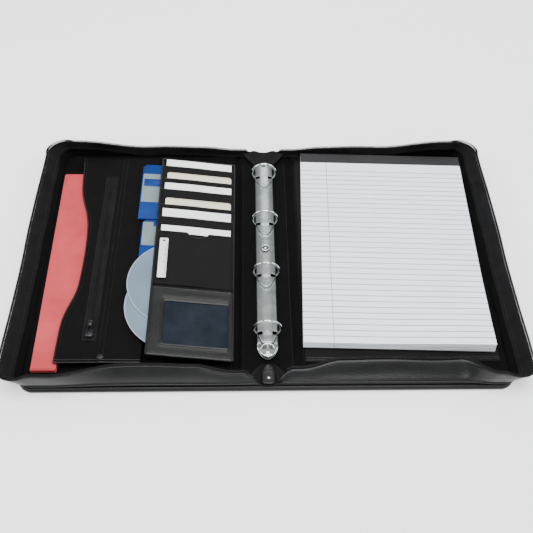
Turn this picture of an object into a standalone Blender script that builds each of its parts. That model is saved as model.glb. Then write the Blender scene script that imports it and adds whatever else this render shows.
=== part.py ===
"""Zip-round leatherette portfolio case, opened flat.

Two stiff covers fold about a flat spine that carries a four-ring binder mechanism. Each cover is a
tray with a standing gusset wall and half of the round-the-edge zip. The left tray holds a document
pocket and an organiser, the right tray holds a head-bound writing pad. Frame: X to the right,
Y to the back, Z up, origin under the middle of the spine. Sizes below are millimetres.
"""
import math

import bmesh
import bpy
from mathutils import Matrix, Vector

MM = 0.001
GAP = 0.3

# spine and fold lines
HINGE_X = 33.0
HINGE_Z = 2.0
CASE_HALF_DEPTH = 177.0
SKIN_T = 2.0
BOARD_T = 2.3
LINING_T = 1.5
SPINE_INNER_X = 28.0

# covers
COVER_OUTER_X = 264.0
COVER_CORNER_R = 15.0
BOARD_INNER_X = 39.0
BOARD_MARGIN = 7.0
BOARD_CORNER_R = 8.0
LINING_TOP = SKIN_T + GAP + BOARD_T + GAP + LINING_T

# gusset walls, as a path along the tray's rim
WALL_X = 261.0
WALL_Y = 174.0
WALL_CORNER_R = 12.0
WALL_START_X = 40.0
WALL_T = 2.0
WALL_TOP_FRONT = 31.0
WALL_TOP_SIDE = 26.0
WALL_TOP_BACK = 21.0
WALL_TOP_START = 9.5
WALL_KNEE = 6.8
WALL_RAMP = 26.0
SIDE_LEAN = 20.0
END_LEAN = 1.8
FRONT_LEAN = {-1: -11.0, 1: -19.0}
FRONT_TOP = {-1: 29.0, 1: 25.5}
FRONT_LEAN_FROM = {-1: 232.0, 1: 242.0}
FRONT_LEAN_TO = {-1: 160.0, 1: 205.0}
TAPE_WIDTH = 9.0
TAPE_T = 1.0
TAPE_GAP = 1.5
COIL_W = 2.6
COIL_H = 2.6
FRONT_RUN_X = [40.0, 48.0, 57.0, 66.0, 110.0, 160.0, 178.0, 196.0] + [205.0 + 4.0 * i for i in range(11)]
BACK_RISE_X = 110.0
BACK_RISE = 139.0

# gusset ends folded down over the spine: (y, z) profile, then (x, share of the fold's height)
SPINE_LINING_X = 26.0
SPINE_GUSSET_PROFILE = [(-176.5, 2.3), (-170.4, 2.3), (-170.4, 6.7), (-156.0, 6.7), (-156.0, 9.5),
                        (-164.0, 11.5), (-172.0, 10.0), (-176.5, 5.5)]
SPINE_GUSSET_SECTIONS = [(-22.0, 0.35), (-9.0, 1.0), (9.0, 1.0), (22.0, 0.35)]
SPINE_GUSSET_FOLD_Z = 6.9

# main zip slider and its leather pull
SLIDER_HALF_W = 4.5
SLIDER_Y = (-165.0, -153.5)
SLIDER_Z = (11.9, 15.4)
PULL_HALF_W = 6.5
PULL_Y = (-176.8, -158.0)
PULL_Z = (15.8, 17.8)
PULL_PIVOT_Y = -159.0

# ring mechanism
RING_YS = [128.0, 48.0, -32.0, -112.0]
RING_R = 15.2
RING_Z = 21.5
RING_WIRE_R = 1.5
PLATE_HALF_W = 12.5
PLATE_TOP = 14.0
PLATE_BOTTOM = LINING_TOP + GAP
PLATE_FRONT = -125.0
PLATE_BACK = 147.0
PLATE_T = 1.0
PLATE_SHOULDER = 3.6
NOTCH_X = (6.2, 14.5)
NOTCH_HALF_Y = 2.6
NOTCH_Z = (9.0, 17.0)
RIVET_Y = 8.0
RIVET_R = 3.6
LEAF_PIVOT_X = 11.3
LEAF_PIVOT_Z = 8.5
LEAF_X = (0.3, 10.9)
LEAF_Z = (7.4, 8.2)
LEAF_END_GAP = 4.0
LEVER_PIVOT_Y = -126.5
LEVER_PIVOT_Z = 11.5
LEVER_Y = -135.5
LEVER_R = 9.0
LEVER_Z = (14.4, 16.0)
LEVER_NECK = [(3.2, -125.6), (-3.2, -125.6)]

# writing pad on the right cover
PAD_CENTRE = (149.3, 18.0)
PAD_TURN = -2.0
PAD_WIDTH = 210.0
PAD_LENGTH = 297.0
PAD_BINDING = 16.5
PAD_SHEETS_T = 6.6
PAD_BOARD_T = 1.2
PAD_BOARD_LIP = 0.5
BINDING_STEP = 0.8
SLIP_POCKET_X = (41.0, 254.0)
SLIP_POCKET_Y = (-146.0, 168.0)
SLIP_POCKET_T = 1.0

# left tray: document pocket
STACK_OUTLINE = [(-252.5, -156.0), (-226.0, -156.0), (-226.0, -141.0), (-204.0, -141.0), (-204.0, 134.0),
                 (-257.0, 134.0)]
STACK_T = 5.5
POCKET_RIGHT_X = -137.0
POCKET_Y = (-149.0, 162.0)
POCKET_T = 1.2
POCKET_Z = LINING_TOP + GAP + STACK_T + GAP
POCKET_FREE_X = -230.0
POCKET_WAVE = 12.8
POCKET_ZIP_X = -195.0
POCKET_ZIP_Y = (-122.0, 128.0)
POCKET_TAPE_HALF_W = 8.0
POCKET_TAPE_T = 0.9
POCKET_SLIDER_HALF = (4.0, 5.0)
POCKET_SLIDER_T = 2.2
POCKET_SLIDER_PARK = 9.0
POCKET_PULL_HALF_W = 2.6
POCKET_PULL_Y = (-2.5, 16.0)
POCKET_PULL_T = 1.2
POCKET_PULL_PIVOT_Y = -2.0
SNAP_CENTRE = (-180.0, -142.0)
SNAP_R = 4.0
SNAP_T = 1.8

# organiser, in its own frame: it slopes down towards the spine
ORGANISER_X = -38.6
ORGANISER_Z = 7.0
ORGANISER_SLOPE = 4.2
ORGANISER_W = 93.0
ORGANISER_Y = (-145.0, 152.0)
ORGANISER_SKEW = 0.06
ID_TOP_Y = -54.0
ID_HOLE = (-77.0, -6.0, -129.0, -73.0)
ID_PANE = (-76.6, -6.4, -128.6, -73.4)
RULER_BOX = (-88.0, -78.0, -43.0, 16.0)
RULER_T = 1.0
DISC_CENTRE_YS = [("disc_1", -45.5, 1), ("disc_2", -76.5, 0)]
DISC_PITCH = 1.5
DISC_HOLE_R = 7.5
DISC_T = 1.2
DISK_PLACES = [("disk_1", -118.0, 52.0), ("disk_2", -112.0, -43.0)]
DISK_T = 3.3
DISK_CHAMFER = 5.0
CD_R = 60.0
DISK_W = 90.0
DISK_L = 94.0
DISC_CENTRE_X = -62.0
CARD_W = 85.6
CARD_L = 17.0
CARD_CORNER_R = 3.2
CARD_MIDDLE_X = -46.0
CARD_BACKS = [("card_1", 128.0), ("card_2", 83.5)]
LABEL_BACKS = [("label_1", 151.0), ("label_2", 109.5), ("label_3", 65.5), ("label_4", 38.5)]
LABEL_HALF_W = 42.5
LABEL_L = 16.0
SLOT_MARGIN = (4.0, 3.0)
SLOT_WINDOWS = [(139.0, 152.0), (117.0, 129.0), (98.0, 110.5), (72.0, 84.5), (52.0, 66.5), (29.0, 39.5)]
LAYER_DISK = GAP
LAYER_DISC = 3.9
LAYER_PANEL = 6.9
LAYER_CARD = 8.0
LAYER_COVER = 9.0

BLACK = (0.018, 0.018, 0.020)
LINING = (0.012, 0.012, 0.014)
TAPE = (0.030, 0.030, 0.035)
BINDING = (0.07, 0.07, 0.08)
FILM = (0.10, 0.12, 0.14)
NICKEL = (0.50, 0.53, 0.53)
CHROME = (0.75, 0.76, 0.77)
PAPER = (0.80, 0.82, 0.85)
GREYBOARD = (0.42, 0.42, 0.42)
PINK = (0.62, 0.12, 0.12)
BLUE = (0.01, 0.08, 0.30)
CARD = (0.80, 0.79, 0.68)
SILVER = (0.35, 0.42, 0.50)


def clear_scene():
    """Remove every object the file opened with."""
    for obj in list(bpy.data.objects):
        bpy.data.objects.remove(obj, do_unlink=True)


def material(name, colour, roughness, metallic=0.0):
    """A plain Principled material."""
    mat = bpy.data.materials.new(name)
    mat.use_nodes = True
    shader = mat.node_tree.nodes["Principled BSDF"]
    shader.inputs["Base Color"].default_value = (*colour, 1.0)
    shader.inputs["Roughness"].default_value = roughness
    shader.inputs["Metallic"].default_value = metallic
    return mat


def add_object(name, bm, look, pivot=(0.0, 0.0, 0.0), parent=None):
    """Turn a closed bmesh in millimetres into an object whose origin is at the pivot."""
    bmesh.ops.recalc_face_normals(bm, faces=bm.faces)
    offset = Vector(pivot)
    for vert in bm.verts:
        vert.co = (vert.co - offset) * MM
    mesh = bpy.data.meshes.new(name)
    bm.to_mesh(mesh)
    bm.free()
    obj = bpy.data.objects.new(name, mesh)
    bpy.context.scene.collection.objects.link(obj)
    obj.location = offset * MM
    obj.parent = parent
    mesh.materials.append(material(name, *look))
    return obj


def prism_mesh(outline, low, high):
    """An outline of (x, y) points raised from low to high."""
    bm = bmesh.new()
    lower = [bm.verts.new((x, y, low)) for x, y in outline]
    upper = [bm.verts.new((x, y, high)) for x, y in outline]
    count = len(outline)
    bm.faces.new(lower)
    bm.faces.new(upper)
    for i in range(count):
        j = (i + 1) % count
        bm.faces.new((lower[i], lower[j], upper[j], upper[i]))
    return bm


def loft_mesh(sections):
    """Join equal closed sections in order, and close both ends."""
    bm = bmesh.new()
    rings = [[bm.verts.new(point) for point in section] for section in sections]
    count = len(rings[0])
    for here, there in zip(rings, rings[1:]):
        for i in range(count):
            j = (i + 1) % count
            bm.faces.new((here[i], here[j], there[j], there[i]))
    bm.faces.new(rings[0])
    bm.faces.new(rings[-1])
    return bm


def arc(cx, cy, radius, start, end, steps):
    """Points of an arc in degrees, both ends included."""
    points = []
    for i in range(steps + 1):
        angle = math.radians(start + (end - start) * i / steps)
        points.append((cx + radius * math.cos(angle), cy + radius * math.sin(angle)))
    return points


def rounded_box(x0, x1, y0, y1, radius, steps=4):
    """Outline of a rectangle with four round corners."""
    corners = [
        (x1 - radius, y0 + radius, -90),
        (x1 - radius, y1 - radius, 0),
        (x0 + radius, y1 - radius, 90),
        (x0 + radius, y0 + radius, 180),
    ]
    points = []
    for cx, cy, start in corners:
        points += arc(cx, cy, radius, start, start + 90, steps)
    return points


def box_outline(x0, x1, y0, y1):
    """Outline of a plain rectangle."""
    return [(x0, y0), (x1, y0), (x1, y1), (x0, y1)]


def tray_outline(inner_x, outer_x, half_depth, radius, side):
    """Outline of a cover sheet: square at the spine, round at the two outer corners."""
    points = [(inner_x, -half_depth)]
    points += arc(outer_x - radius, -half_depth + radius, radius, -90, 0, 6)
    points += arc(outer_x - radius, half_depth - radius, radius, 0, 90, 6)
    points += [(inner_x, half_depth)]
    return [(side * x, y) for x, y in points]


def wall_height(x):
    """Share of the full height: the wall ramps up from the spine."""
    return min(1.0, max(0.0, (x - WALL_START_X) / WALL_RAMP))


def front_share(x, side):
    """How far the front wall has flopped inwards: none at the corner, all of it past the slope."""
    share = (FRONT_LEAN_FROM[side] - x) / (FRONT_LEAN_FROM[side] - FRONT_LEAN_TO[side])
    return min(1.0, max(0.0, share))


def wall_stations(side):
    """Base point, outward direction, top height and outward lean along the rim of one tray."""
    stations = []
    for x in FRONT_RUN_X:
        share = front_share(x, side)
        full = WALL_TOP_FRONT + (FRONT_TOP[side] - WALL_TOP_FRONT) * share
        top = WALL_TOP_START + (full - WALL_TOP_START) * wall_height(x)
        lean = END_LEAN + (FRONT_LEAN[side] - END_LEAN) * share
        lean *= (top - WALL_KNEE) / (full - WALL_KNEE)
        stations.append(((x, -WALL_Y), (0.0, -1.0), top, lean))
    corner_x = WALL_X - WALL_CORNER_R
    corner_y = WALL_Y - WALL_CORNER_R
    steps = 6
    for i in range(steps + 1):
        share = i / steps
        angle = math.radians(-90 + 90 * share)
        out = (math.cos(angle), math.sin(angle))
        base = (corner_x + WALL_CORNER_R * out[0], -corner_y + WALL_CORNER_R * out[1])
        top = WALL_TOP_FRONT + (WALL_TOP_SIDE - WALL_TOP_FRONT) * share
        stations.append((base, out, top, END_LEAN + (SIDE_LEAN - END_LEAN) * share))
    for y in (-90.0, 0.0, 90.0):
        stations.append(((WALL_X, y), (1.0, 0.0), WALL_TOP_SIDE, SIDE_LEAN))
    for i in range(steps + 1):
        share = i / steps
        angle = math.radians(90 * share)
        out = (math.cos(angle), math.sin(angle))
        base = (corner_x + WALL_CORNER_R * out[0], corner_y + WALL_CORNER_R * out[1])
        top = WALL_TOP_SIDE + (WALL_TOP_FRONT - WALL_TOP_SIDE) * math.sin(math.pi / 2 * share)
        stations.append((base, out, top, SIDE_LEAN + (END_LEAN - SIDE_LEAN) * share))
    for x in reversed(FRONT_RUN_X):
        rise = max(0.0, (x - BACK_RISE_X) / BACK_RISE)
        full = WALL_TOP_BACK + (WALL_TOP_FRONT - WALL_TOP_BACK) * rise
        top = WALL_TOP_START + (full - WALL_TOP_START) * wall_height(x)
        stations.append(((x, WALL_Y), (0.0, 1.0), top, END_LEAN))
    return stations


def wall_point(station, z, offset, side):
    """A point at height z, offset outwards from the wall's middle, which leans above its knee."""
    base, out, top, lean = station
    share = max(0.0, (z - WALL_KNEE) / (top - WALL_KNEE))
    reach = lean * share + offset
    return (side * (base[0] + out[0] * reach), base[1] + out[1] * reach, z)


def gusset(side, name):
    """The standing wall of one tray, from the skin up to its zip."""
    half = WALL_T / 2
    sections = []
    for station in wall_stations(side):
        bottom = SKIN_T + GAP
        top = station[2]
        sections.append([
            wall_point(station, bottom, half, side),
            wall_point(station, WALL_KNEE, half, side),
            wall_point(station, top, half, side),
            wall_point(station, top, -half, side),
            wall_point(station, WALL_KNEE, -half, side),
            wall_point(station, bottom, -half, side),
        ])
    add_object(name, loft_mesh(sections), (BLACK, 0.42))


def zip_tape(side, name):
    """Woven tape sewn inside the wall's upper edge."""
    outer = -WALL_T / 2 - TAPE_GAP
    sections = []
    for station in wall_stations(side):
        top = station[2]
        low = max(top - TAPE_WIDTH, WALL_KNEE + 0.5)
        sections.append([
            wall_point(station, low, outer, side),
            wall_point(station, top, outer, side),
            wall_point(station, top, outer - TAPE_T, side),
            wall_point(station, low, outer - TAPE_T, side),
        ])
    add_object(name, loft_mesh(sections), (TAPE, 0.8))


def zip_coil(side, name):
    """Row of zip teeth along the wall's top edge, as one bead."""
    sections = []
    for station in wall_stations(side):
        low = station[2] + GAP
        high = low + COIL_H
        outer = WALL_T / 2
        inner = outer - COIL_W
        sections.append([
            wall_point(station, low, outer, side),
            wall_point(station, high, outer, side),
            wall_point(station, high, inner, side),
            wall_point(station, low, inner, side),
        ])
    add_object(name, loft_mesh(sections), (TAPE, 0.55))


def cover(side, prefix):
    """Skin, stiff board, lining, wall and zip half of one cover."""
    pivot = (side * HINGE_X, 0.0, HINGE_Z)
    inner = HINGE_X + 0.2
    skin = tray_outline(inner, COVER_OUTER_X, CASE_HALF_DEPTH, COVER_CORNER_R, side)
    add_object(prefix + "_cover_skin", prism_mesh(skin, 0.0, SKIN_T), (BLACK, 0.40), pivot)
    board = tray_outline(BOARD_INNER_X, COVER_OUTER_X - BOARD_MARGIN, CASE_HALF_DEPTH - BOARD_MARGIN,
                         BOARD_CORNER_R, side)
    low = SKIN_T + GAP
    high = low + BOARD_T
    add_object(prefix + "_cover_board", prism_mesh(board, low, high), (GREYBOARD, 0.8), pivot)
    add_object(prefix + "_cover_lining", prism_mesh(board, high + GAP, LINING_TOP), (LINING, 0.7), pivot)
    gusset(side, prefix + "_gusset")
    zip_tape(side, prefix + "_zip_tape")
    zip_coil(side, prefix + "_zip_coil")


def spine():
    """Flexible skin, stiffener and lining of the spine, with the folded gusset ends."""
    skin = box_outline(-HINGE_X + 0.2, HINGE_X - 0.2, -CASE_HALF_DEPTH, CASE_HALF_DEPTH)
    add_object("spine_skin", prism_mesh(skin, 0.0, SKIN_T), (BLACK, 0.40))
    board = box_outline(-SPINE_INNER_X, SPINE_INNER_X, -CASE_HALF_DEPTH + BOARD_MARGIN,
                        CASE_HALF_DEPTH - BOARD_MARGIN)
    low = SKIN_T + GAP
    high = low + BOARD_T
    add_object("spine_board", prism_mesh(board, low, high), (GREYBOARD, 0.8))
    lining = box_outline(-SPINE_LINING_X, SPINE_LINING_X, -CASE_HALF_DEPTH + BOARD_MARGIN,
                         CASE_HALF_DEPTH - BOARD_MARGIN)
    add_object("spine_lining", prism_mesh(lining, high + GAP, LINING_TOP), (LINING, 0.7))


def spine_gusset(name, end):
    """Soft gusset between the two walls, folded down over one end of the spine."""
    sections = []
    for x, scale in SPINE_GUSSET_SECTIONS:
        section = []
        for y, z in SPINE_GUSSET_PROFILE:
            above = max(0.0, z - SPINE_GUSSET_FOLD_Z)
            section.append((x, -end * y, z - above * (1.0 - scale)))
        sections.append(section)
    add_object(name, loft_mesh(sections), (BLACK, 0.45))


def zip_slider():
    """Main slider parked at the front end of the spine, and its riveted leather pull."""
    body = rounded_box(-SLIDER_HALF_W, SLIDER_HALF_W, *SLIDER_Y, 2.0, 3)
    add_object("zip_slider", prism_mesh(body, *SLIDER_Z), (CHROME, 0.3, 1.0))
    pull = rounded_box(-PULL_HALF_W, PULL_HALF_W, *PULL_Y, 3.0, 4)
    pivot = (0.0, PULL_PIVOT_Y, sum(PULL_Z) / 2)
    add_object("zip_pull", prism_mesh(pull, *PULL_Z), (BLACK, 0.5), pivot)


def plate_profile(inset, bottom):
    """Half-round dome of the ring plate, from its right foot to its left foot."""
    half = PLATE_HALF_W - inset
    top = PLATE_TOP - inset
    shoulder = PLATE_BOTTOM + PLATE_SHOULDER - inset * 0.3
    points = [(half, bottom)]
    for i in range(9):
        angle = math.radians(8 + 164 * i / 8)
        points.append((half * math.cos(angle), shoulder + (top - shoulder) * math.sin(angle)))
    points.append((-half, bottom))
    return points


def ring_plate():
    """Domed metal channel over the two leaves, notched where the rings pass through its edges."""
    outer = plate_profile(0.0, PLATE_BOTTOM)
    inner = plate_profile(PLATE_T, PLATE_BOTTOM)
    outline = outer + inner[::-1]
    sections = [[(x, y, z) for x, z in outline] for y in (PLATE_FRONT, PLATE_BACK)]
    plate = add_object("ring_plate", loft_mesh(sections), (NICKEL, 0.35, 1.0))
    for number, ring_y in enumerate(RING_YS):
        for side in (-1, 1):
            low_x, high_x = sorted((side * NOTCH_X[0], side * NOTCH_X[1]))
            outline = box_outline(low_x, high_x, ring_y - NOTCH_HALF_Y, ring_y + NOTCH_HALF_Y)
            notch = prism_mesh(outline, *NOTCH_Z)
            cutter = add_object("notch_%d_%d" % (number, side + 1), notch, (NICKEL, 0.5))
            cutter.hide_render = True
            cutter.display_type = "WIRE"
            cut = plate.modifiers.new("notch", "BOOLEAN")
            cut.object = cutter
            cut.operation = "DIFFERENCE"
            cut.solver = "EXACT"
    rivet = arc(0.0, RIVET_Y, RIVET_R, 0, 337.5, 15)
    add_object("centre_rivet", prism_mesh(rivet, PLATE_TOP + GAP, PLATE_TOP + 1.3), (CHROME, 0.25, 1.0))


def ring_half(side, number, ring_y):
    """Half of one round ring, from its foot on the leaf up to the closed top."""
    first = -50.0
    last = 89.3
    steps = 14
    sides = 10
    sections = []
    for i in range(steps + 1):
        angle = math.radians(first + (last - first) * i / steps)
        out = Vector((math.cos(angle), 0.0, math.sin(angle)))
        centre = out * RING_R + Vector((0.0, ring_y, RING_Z))
        section = []
        for k in range(sides):
            turn = 2 * math.pi * k / sides
            point = centre + RING_WIRE_R * (math.cos(turn) * out + Vector((0.0, math.sin(turn), 0.0)))
            section.append((side * point.x, point.y, point.z))
        sections.append(section)
    prefix = "ring_left_" if side < 0 else "ring_right_"
    pivot = (side * LEAF_PIVOT_X, ring_y, LEAF_PIVOT_Z)
    ring = add_object(prefix + str(number), loft_mesh(sections), (CHROME, 0.2, 1.0), pivot)
    ring.data.shade_smooth()


def leaf(side, name):
    """Pivoting leaf under the plate that carries four ring halves."""
    low_x, high_x = sorted((side * LEAF_X[0], side * LEAF_X[1]))
    outline = box_outline(low_x, high_x, PLATE_FRONT + LEAF_END_GAP, PLATE_BACK - LEAF_END_GAP)
    pivot = (side * LEAF_PIVOT_X, 0.0, LEAF_PIVOT_Z)
    add_object(name, prism_mesh(outline, *LEAF_Z), (NICKEL, 0.4, 1.0), pivot)


def lever():
    """Round thumb lever at the front end of the ring plate."""
    outline = arc(0.0, LEVER_Y, LEVER_R, -240, 60, 14) + LEVER_NECK
    pivot = (0.0, LEVER_PIVOT_Y, LEVER_PIVOT_Z)
    add_object("ring_lever", prism_mesh(outline, *LEVER_Z), (CHROME, 0.25, 1.0), pivot)


def writing_pad():
    """Slip pocket sewn on the lining, and the head-bound A4 pad that lies on it."""
    pocket_low = LINING_TOP + GAP
    pocket_high = pocket_low + SLIP_POCKET_T
    pocket = box_outline(*SLIP_POCKET_X, *SLIP_POCKET_Y)
    add_object("slip_pocket", prism_mesh(pocket, pocket_low, pocket_high), (BLACK, 0.6))
    turned = bpy.data.objects.new("pad_frame", None)
    bpy.context.scene.collection.objects.link(turned)
    turned.location = (PAD_CENTRE[0] * MM, PAD_CENTRE[1] * MM, 0.0)
    turned.rotation_euler = (0.0, 0.0, math.radians(PAD_TURN))
    right = PAD_WIDTH / 2
    back = PAD_LENGTH / 2
    board_low = pocket_high + GAP
    board_high = board_low + PAD_BOARD_T
    board = box_outline(-right, right, -back - PAD_BOARD_LIP, back)
    add_object("pad_board", prism_mesh(board, board_low, board_high), (GREYBOARD, 0.85), parent=turned)
    sheets_low = board_high + GAP
    sheets_high = sheets_low + PAD_SHEETS_T
    binding_y = back - PAD_BINDING
    sheets = [(-back, sheets_low), (back - 1.0, sheets_low), (back - 1.0, sheets_high - BINDING_STEP),
              (binding_y - GAP, sheets_high - BINDING_STEP), (binding_y - GAP, sheets_high),
              (-back, sheets_high)]
    sections = [[(x, y, z) for y, z in sheets] for x in (-right, right)]
    add_object("pad_sheets", loft_mesh(sections), (PAPER, 0.75), parent=turned)
    strip = [(binding_y, sheets_high - 0.5), (back - 0.7, sheets_high - 0.5), (back - 0.7, sheets_low),
             (back, sheets_low), (back, sheets_high + 0.1), (binding_y, sheets_high + 0.1)]
    sections = [[(x, y, z) for y, z in strip] for x in (-right, right)]
    add_object("pad_binding", loft_mesh(sections), (BINDING, 0.6), parent=turned)


def document_pocket():
    """Stack of papers at the outer edge, the pocket over it, and the pocket's own zip."""
    low = LINING_TOP + GAP
    add_object("document_stack", prism_mesh(STACK_OUTLINE, low, low + STACK_T), (PINK, 0.6))
    y0, y1 = POCKET_Y
    edge = []
    steps = 14
    for i in range(steps + 1):
        share = i / steps
        wave = POCKET_WAVE * (1.0 - math.cos(2 * math.pi * share)) / 2 * (1.4 - 0.8 * share)
        edge.append((POCKET_FREE_X + wave, y1 + (y0 - y1) * share))
    panel = edge + [(POCKET_RIGHT_X, y0), (POCKET_RIGHT_X, y1)]
    high = POCKET_Z + POCKET_T
    add_object("document_pocket", prism_mesh(panel, POCKET_Z, high), (LINING, 0.55))
    tape_low = high + GAP
    tape_high = tape_low + POCKET_TAPE_T
    tape = box_outline(POCKET_ZIP_X - POCKET_TAPE_HALF_W, POCKET_ZIP_X + POCKET_TAPE_HALF_W, *POCKET_ZIP_Y)
    add_object("pocket_zip_tape", prism_mesh(tape, tape_low, tape_high), (LINING, 0.8))
    slider_y = POCKET_ZIP_Y[0] + POCKET_SLIDER_PARK
    half_x, half_y = POCKET_SLIDER_HALF
    slider = rounded_box(POCKET_ZIP_X - half_x, POCKET_ZIP_X + half_x, slider_y - half_y,
                         slider_y + half_y, 2.0, 3)
    slider_low = tape_high + GAP
    slider_high = slider_low + POCKET_SLIDER_T
    add_object("pocket_zip_slider", prism_mesh(slider, slider_low, slider_high), (CHROME, 0.3, 1.0))
    pull_low = slider_high + GAP
    pull = rounded_box(POCKET_ZIP_X - POCKET_PULL_HALF_W, POCKET_ZIP_X + POCKET_PULL_HALF_W,
                       slider_y + POCKET_PULL_Y[0], slider_y + POCKET_PULL_Y[1], 2.0, 3)
    pivot = (POCKET_ZIP_X, slider_y + POCKET_PULL_PIVOT_Y, pull_low + POCKET_PULL_T / 2)
    add_object("pocket_zip_pull", prism_mesh(pull, pull_low, pull_low + POCKET_PULL_T), (CHROME, 0.3, 1.0),
               pivot)
    snap = arc(*SNAP_CENTRE, SNAP_R, 0, 337.5, 15)
    add_object("pocket_snap", prism_mesh(snap, tape_low, tape_low + SNAP_T), (BLACK, 0.35))


def organiser_frame():
    """Empty that carries everything on the sloping organiser."""
    frame = bpy.data.objects.new("organiser_frame", None)
    bpy.context.scene.collection.objects.link(frame)
    frame.location = (ORGANISER_X * MM, 0.0, ORGANISER_Z * MM)
    frame.rotation_euler = (0.0, math.radians(ORGANISER_SLOPE), 0.0)
    return frame


def skewed(outline):
    """Shear an organiser outline: its rows drop towards the spine while its sides stay straight."""
    return [(x, y - ORGANISER_SKEW * (x + ORGANISER_W)) for x, y in outline]


def cut_windows(plate, windows, low, high):
    """Cut skewed windows (x0, x1, y0, y1) through a sloping plate."""
    for number, window in enumerate(windows):
        cutter = add_object("%s_window_%d" % (plate.name, number),
                            prism_mesh(skewed(box_outline(*window)), low, high), (LINING, 0.5),
                            parent=plate.parent)
        cutter.hide_render = True
        cutter.display_type = "WIRE"
        cut = plate.modifiers.new("window", "BOOLEAN")
        cut.object = cutter
        cut.operation = "DIFFERENCE"
        cut.solver = "EXACT"


def organiser():
    """Disk and disc pockets, six card slots and a clear window, sewn as one sloping panel."""
    frame = organiser_frame()
    width = ORGANISER_W
    y0, y1 = ORGANISER_Y
    for name, centre_y, step in DISC_CENTRE_YS:
        add_disc(name, centre_y, LAYER_DISC + DISC_PITCH * step, frame)
    for name, left, front in DISK_PLACES:
        add_disk(name, left, front, frame)
    panel = prism_mesh(skewed(box_outline(-width, 0.0, y0, y1)), LAYER_PANEL, LAYER_PANEL + 0.8)
    add_object("organiser_panel", panel, (BLACK, 0.55), parent=frame)
    add_cards(frame)
    outline = skewed(box_outline(-width, 0.0, ID_TOP_Y + 3.0, y1))
    card_panel = prism_mesh(outline, LAYER_COVER, LAYER_COVER + 0.7)
    plate = add_object("card_panel", card_panel, (BLACK, 0.5), parent=frame)
    windows = [(-width + SLOT_MARGIN[0], -SLOT_MARGIN[1], low, high) for low, high in SLOT_WINDOWS]
    cut_windows(plate, windows, LAYER_CARD, LAYER_COVER + 2.0)
    outline = skewed(box_outline(-width, 0.0, y0, ID_TOP_Y))
    id_frame = prism_mesh(outline, LAYER_CARD, LAYER_COVER + 0.5)
    plate = add_object("id_frame", id_frame, (BLACK, 0.35), parent=frame)
    cut_windows(plate, [ID_HOLE], LAYER_CARD - 0.2, LAYER_COVER + 2.0)
    pane = prism_mesh(skewed(box_outline(*ID_PANE)), LAYER_CARD, LAYER_CARD + 0.6)
    add_object("id_window", pane, (FILM, 0.1), parent=frame)
    ruler_low = LAYER_COVER + 1.0
    ruler = prism_mesh(box_outline(*RULER_BOX), ruler_low, ruler_low + RULER_T)
    add_object("small_ruler", ruler, (PAPER, 0.3), parent=frame)


def add_disc(name, centre_y, low, frame):
    """Optical disc: a flat ring with a round middle hole."""
    rim = arc(DISC_CENTRE_X, centre_y, CD_R, 0, 352.5, 47)
    hole = arc(DISC_CENTRE_X, centre_y, DISC_HOLE_R, 0, 352.5, 47)
    high = low + DISC_T
    bm = bmesh.new()
    loops = []
    for points, z in ((rim, low), (rim, high), (hole, high), (hole, low)):
        loops.append([bm.verts.new((x, y, z)) for x, y in points])
    count = len(rim)
    for here, there in zip(loops, loops[1:] + loops[:1]):
        for i in range(count):
            j = (i + 1) % count
            bm.faces.new((here[i], here[j], there[j], there[i]))
    add_object(name, bm, (SILVER, 0.25, 0.6), parent=frame)


def add_disk(name, left, front, frame):
    """Square data disk with one cut corner."""
    right = left + DISK_W
    back = front + DISK_L
    outline = [(left, front), (right, front), (right, back), (left + DISK_CHAMFER, back),
               (left, back - DISK_CHAMFER)]
    add_object(name, prism_mesh(outline, LAYER_DISK, LAYER_DISK + DISK_T), (BLUE, 0.45), parent=frame)


def add_cards(frame):
    """Two card-shaped inserts and four plain labels, one in each card slot."""
    for name, back in CARD_BACKS:
        outline = rounded_box(CARD_MIDDLE_X - CARD_W / 2, CARD_MIDDLE_X + CARD_W / 2, back - CARD_L, back,
                              CARD_CORNER_R, 3)
        mesh = prism_mesh(skewed(outline), LAYER_CARD, LAYER_CARD + 0.7)
        add_object(name, mesh, (CARD, 0.4), parent=frame)
    for name, back in LABEL_BACKS:
        outline = box_outline(CARD_MIDDLE_X - LABEL_HALF_W, CARD_MIDDLE_X + LABEL_HALF_W, back - LABEL_L,
                              back)
        mesh = prism_mesh(skewed(outline), LAYER_CARD, LAYER_CARD + 0.6)
        add_object(name, mesh, (PAPER, 0.6), parent=frame)


def build():
    """Make the whole case."""
    clear_scene()
    spine()
    spine_gusset("spine_gusset_front", -1)
    spine_gusset("spine_gusset_back", 1)
    zip_slider()
    cover(-1, "left")
    cover(1, "right")
    ring_plate()
    for number, ring_y in enumerate(RING_YS, start=1):
        ring_half(-1, number, ring_y)
        ring_half(1, number, ring_y)
    leaf(-1, "leaf_left")
    leaf(1, "leaf_right")
    lever()
    writing_pad()
    document_pocket()
    organiser()
    bpy.context.view_layer.update()


build()
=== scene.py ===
"""Looks of the zip-round portfolio case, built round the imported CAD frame.

Every length below is in millimetres in the CAD frame: X right, Y back, Z up.
"""
import math
import random

import bmesh
import bpy
from mathutils import Matrix, Vector


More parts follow.
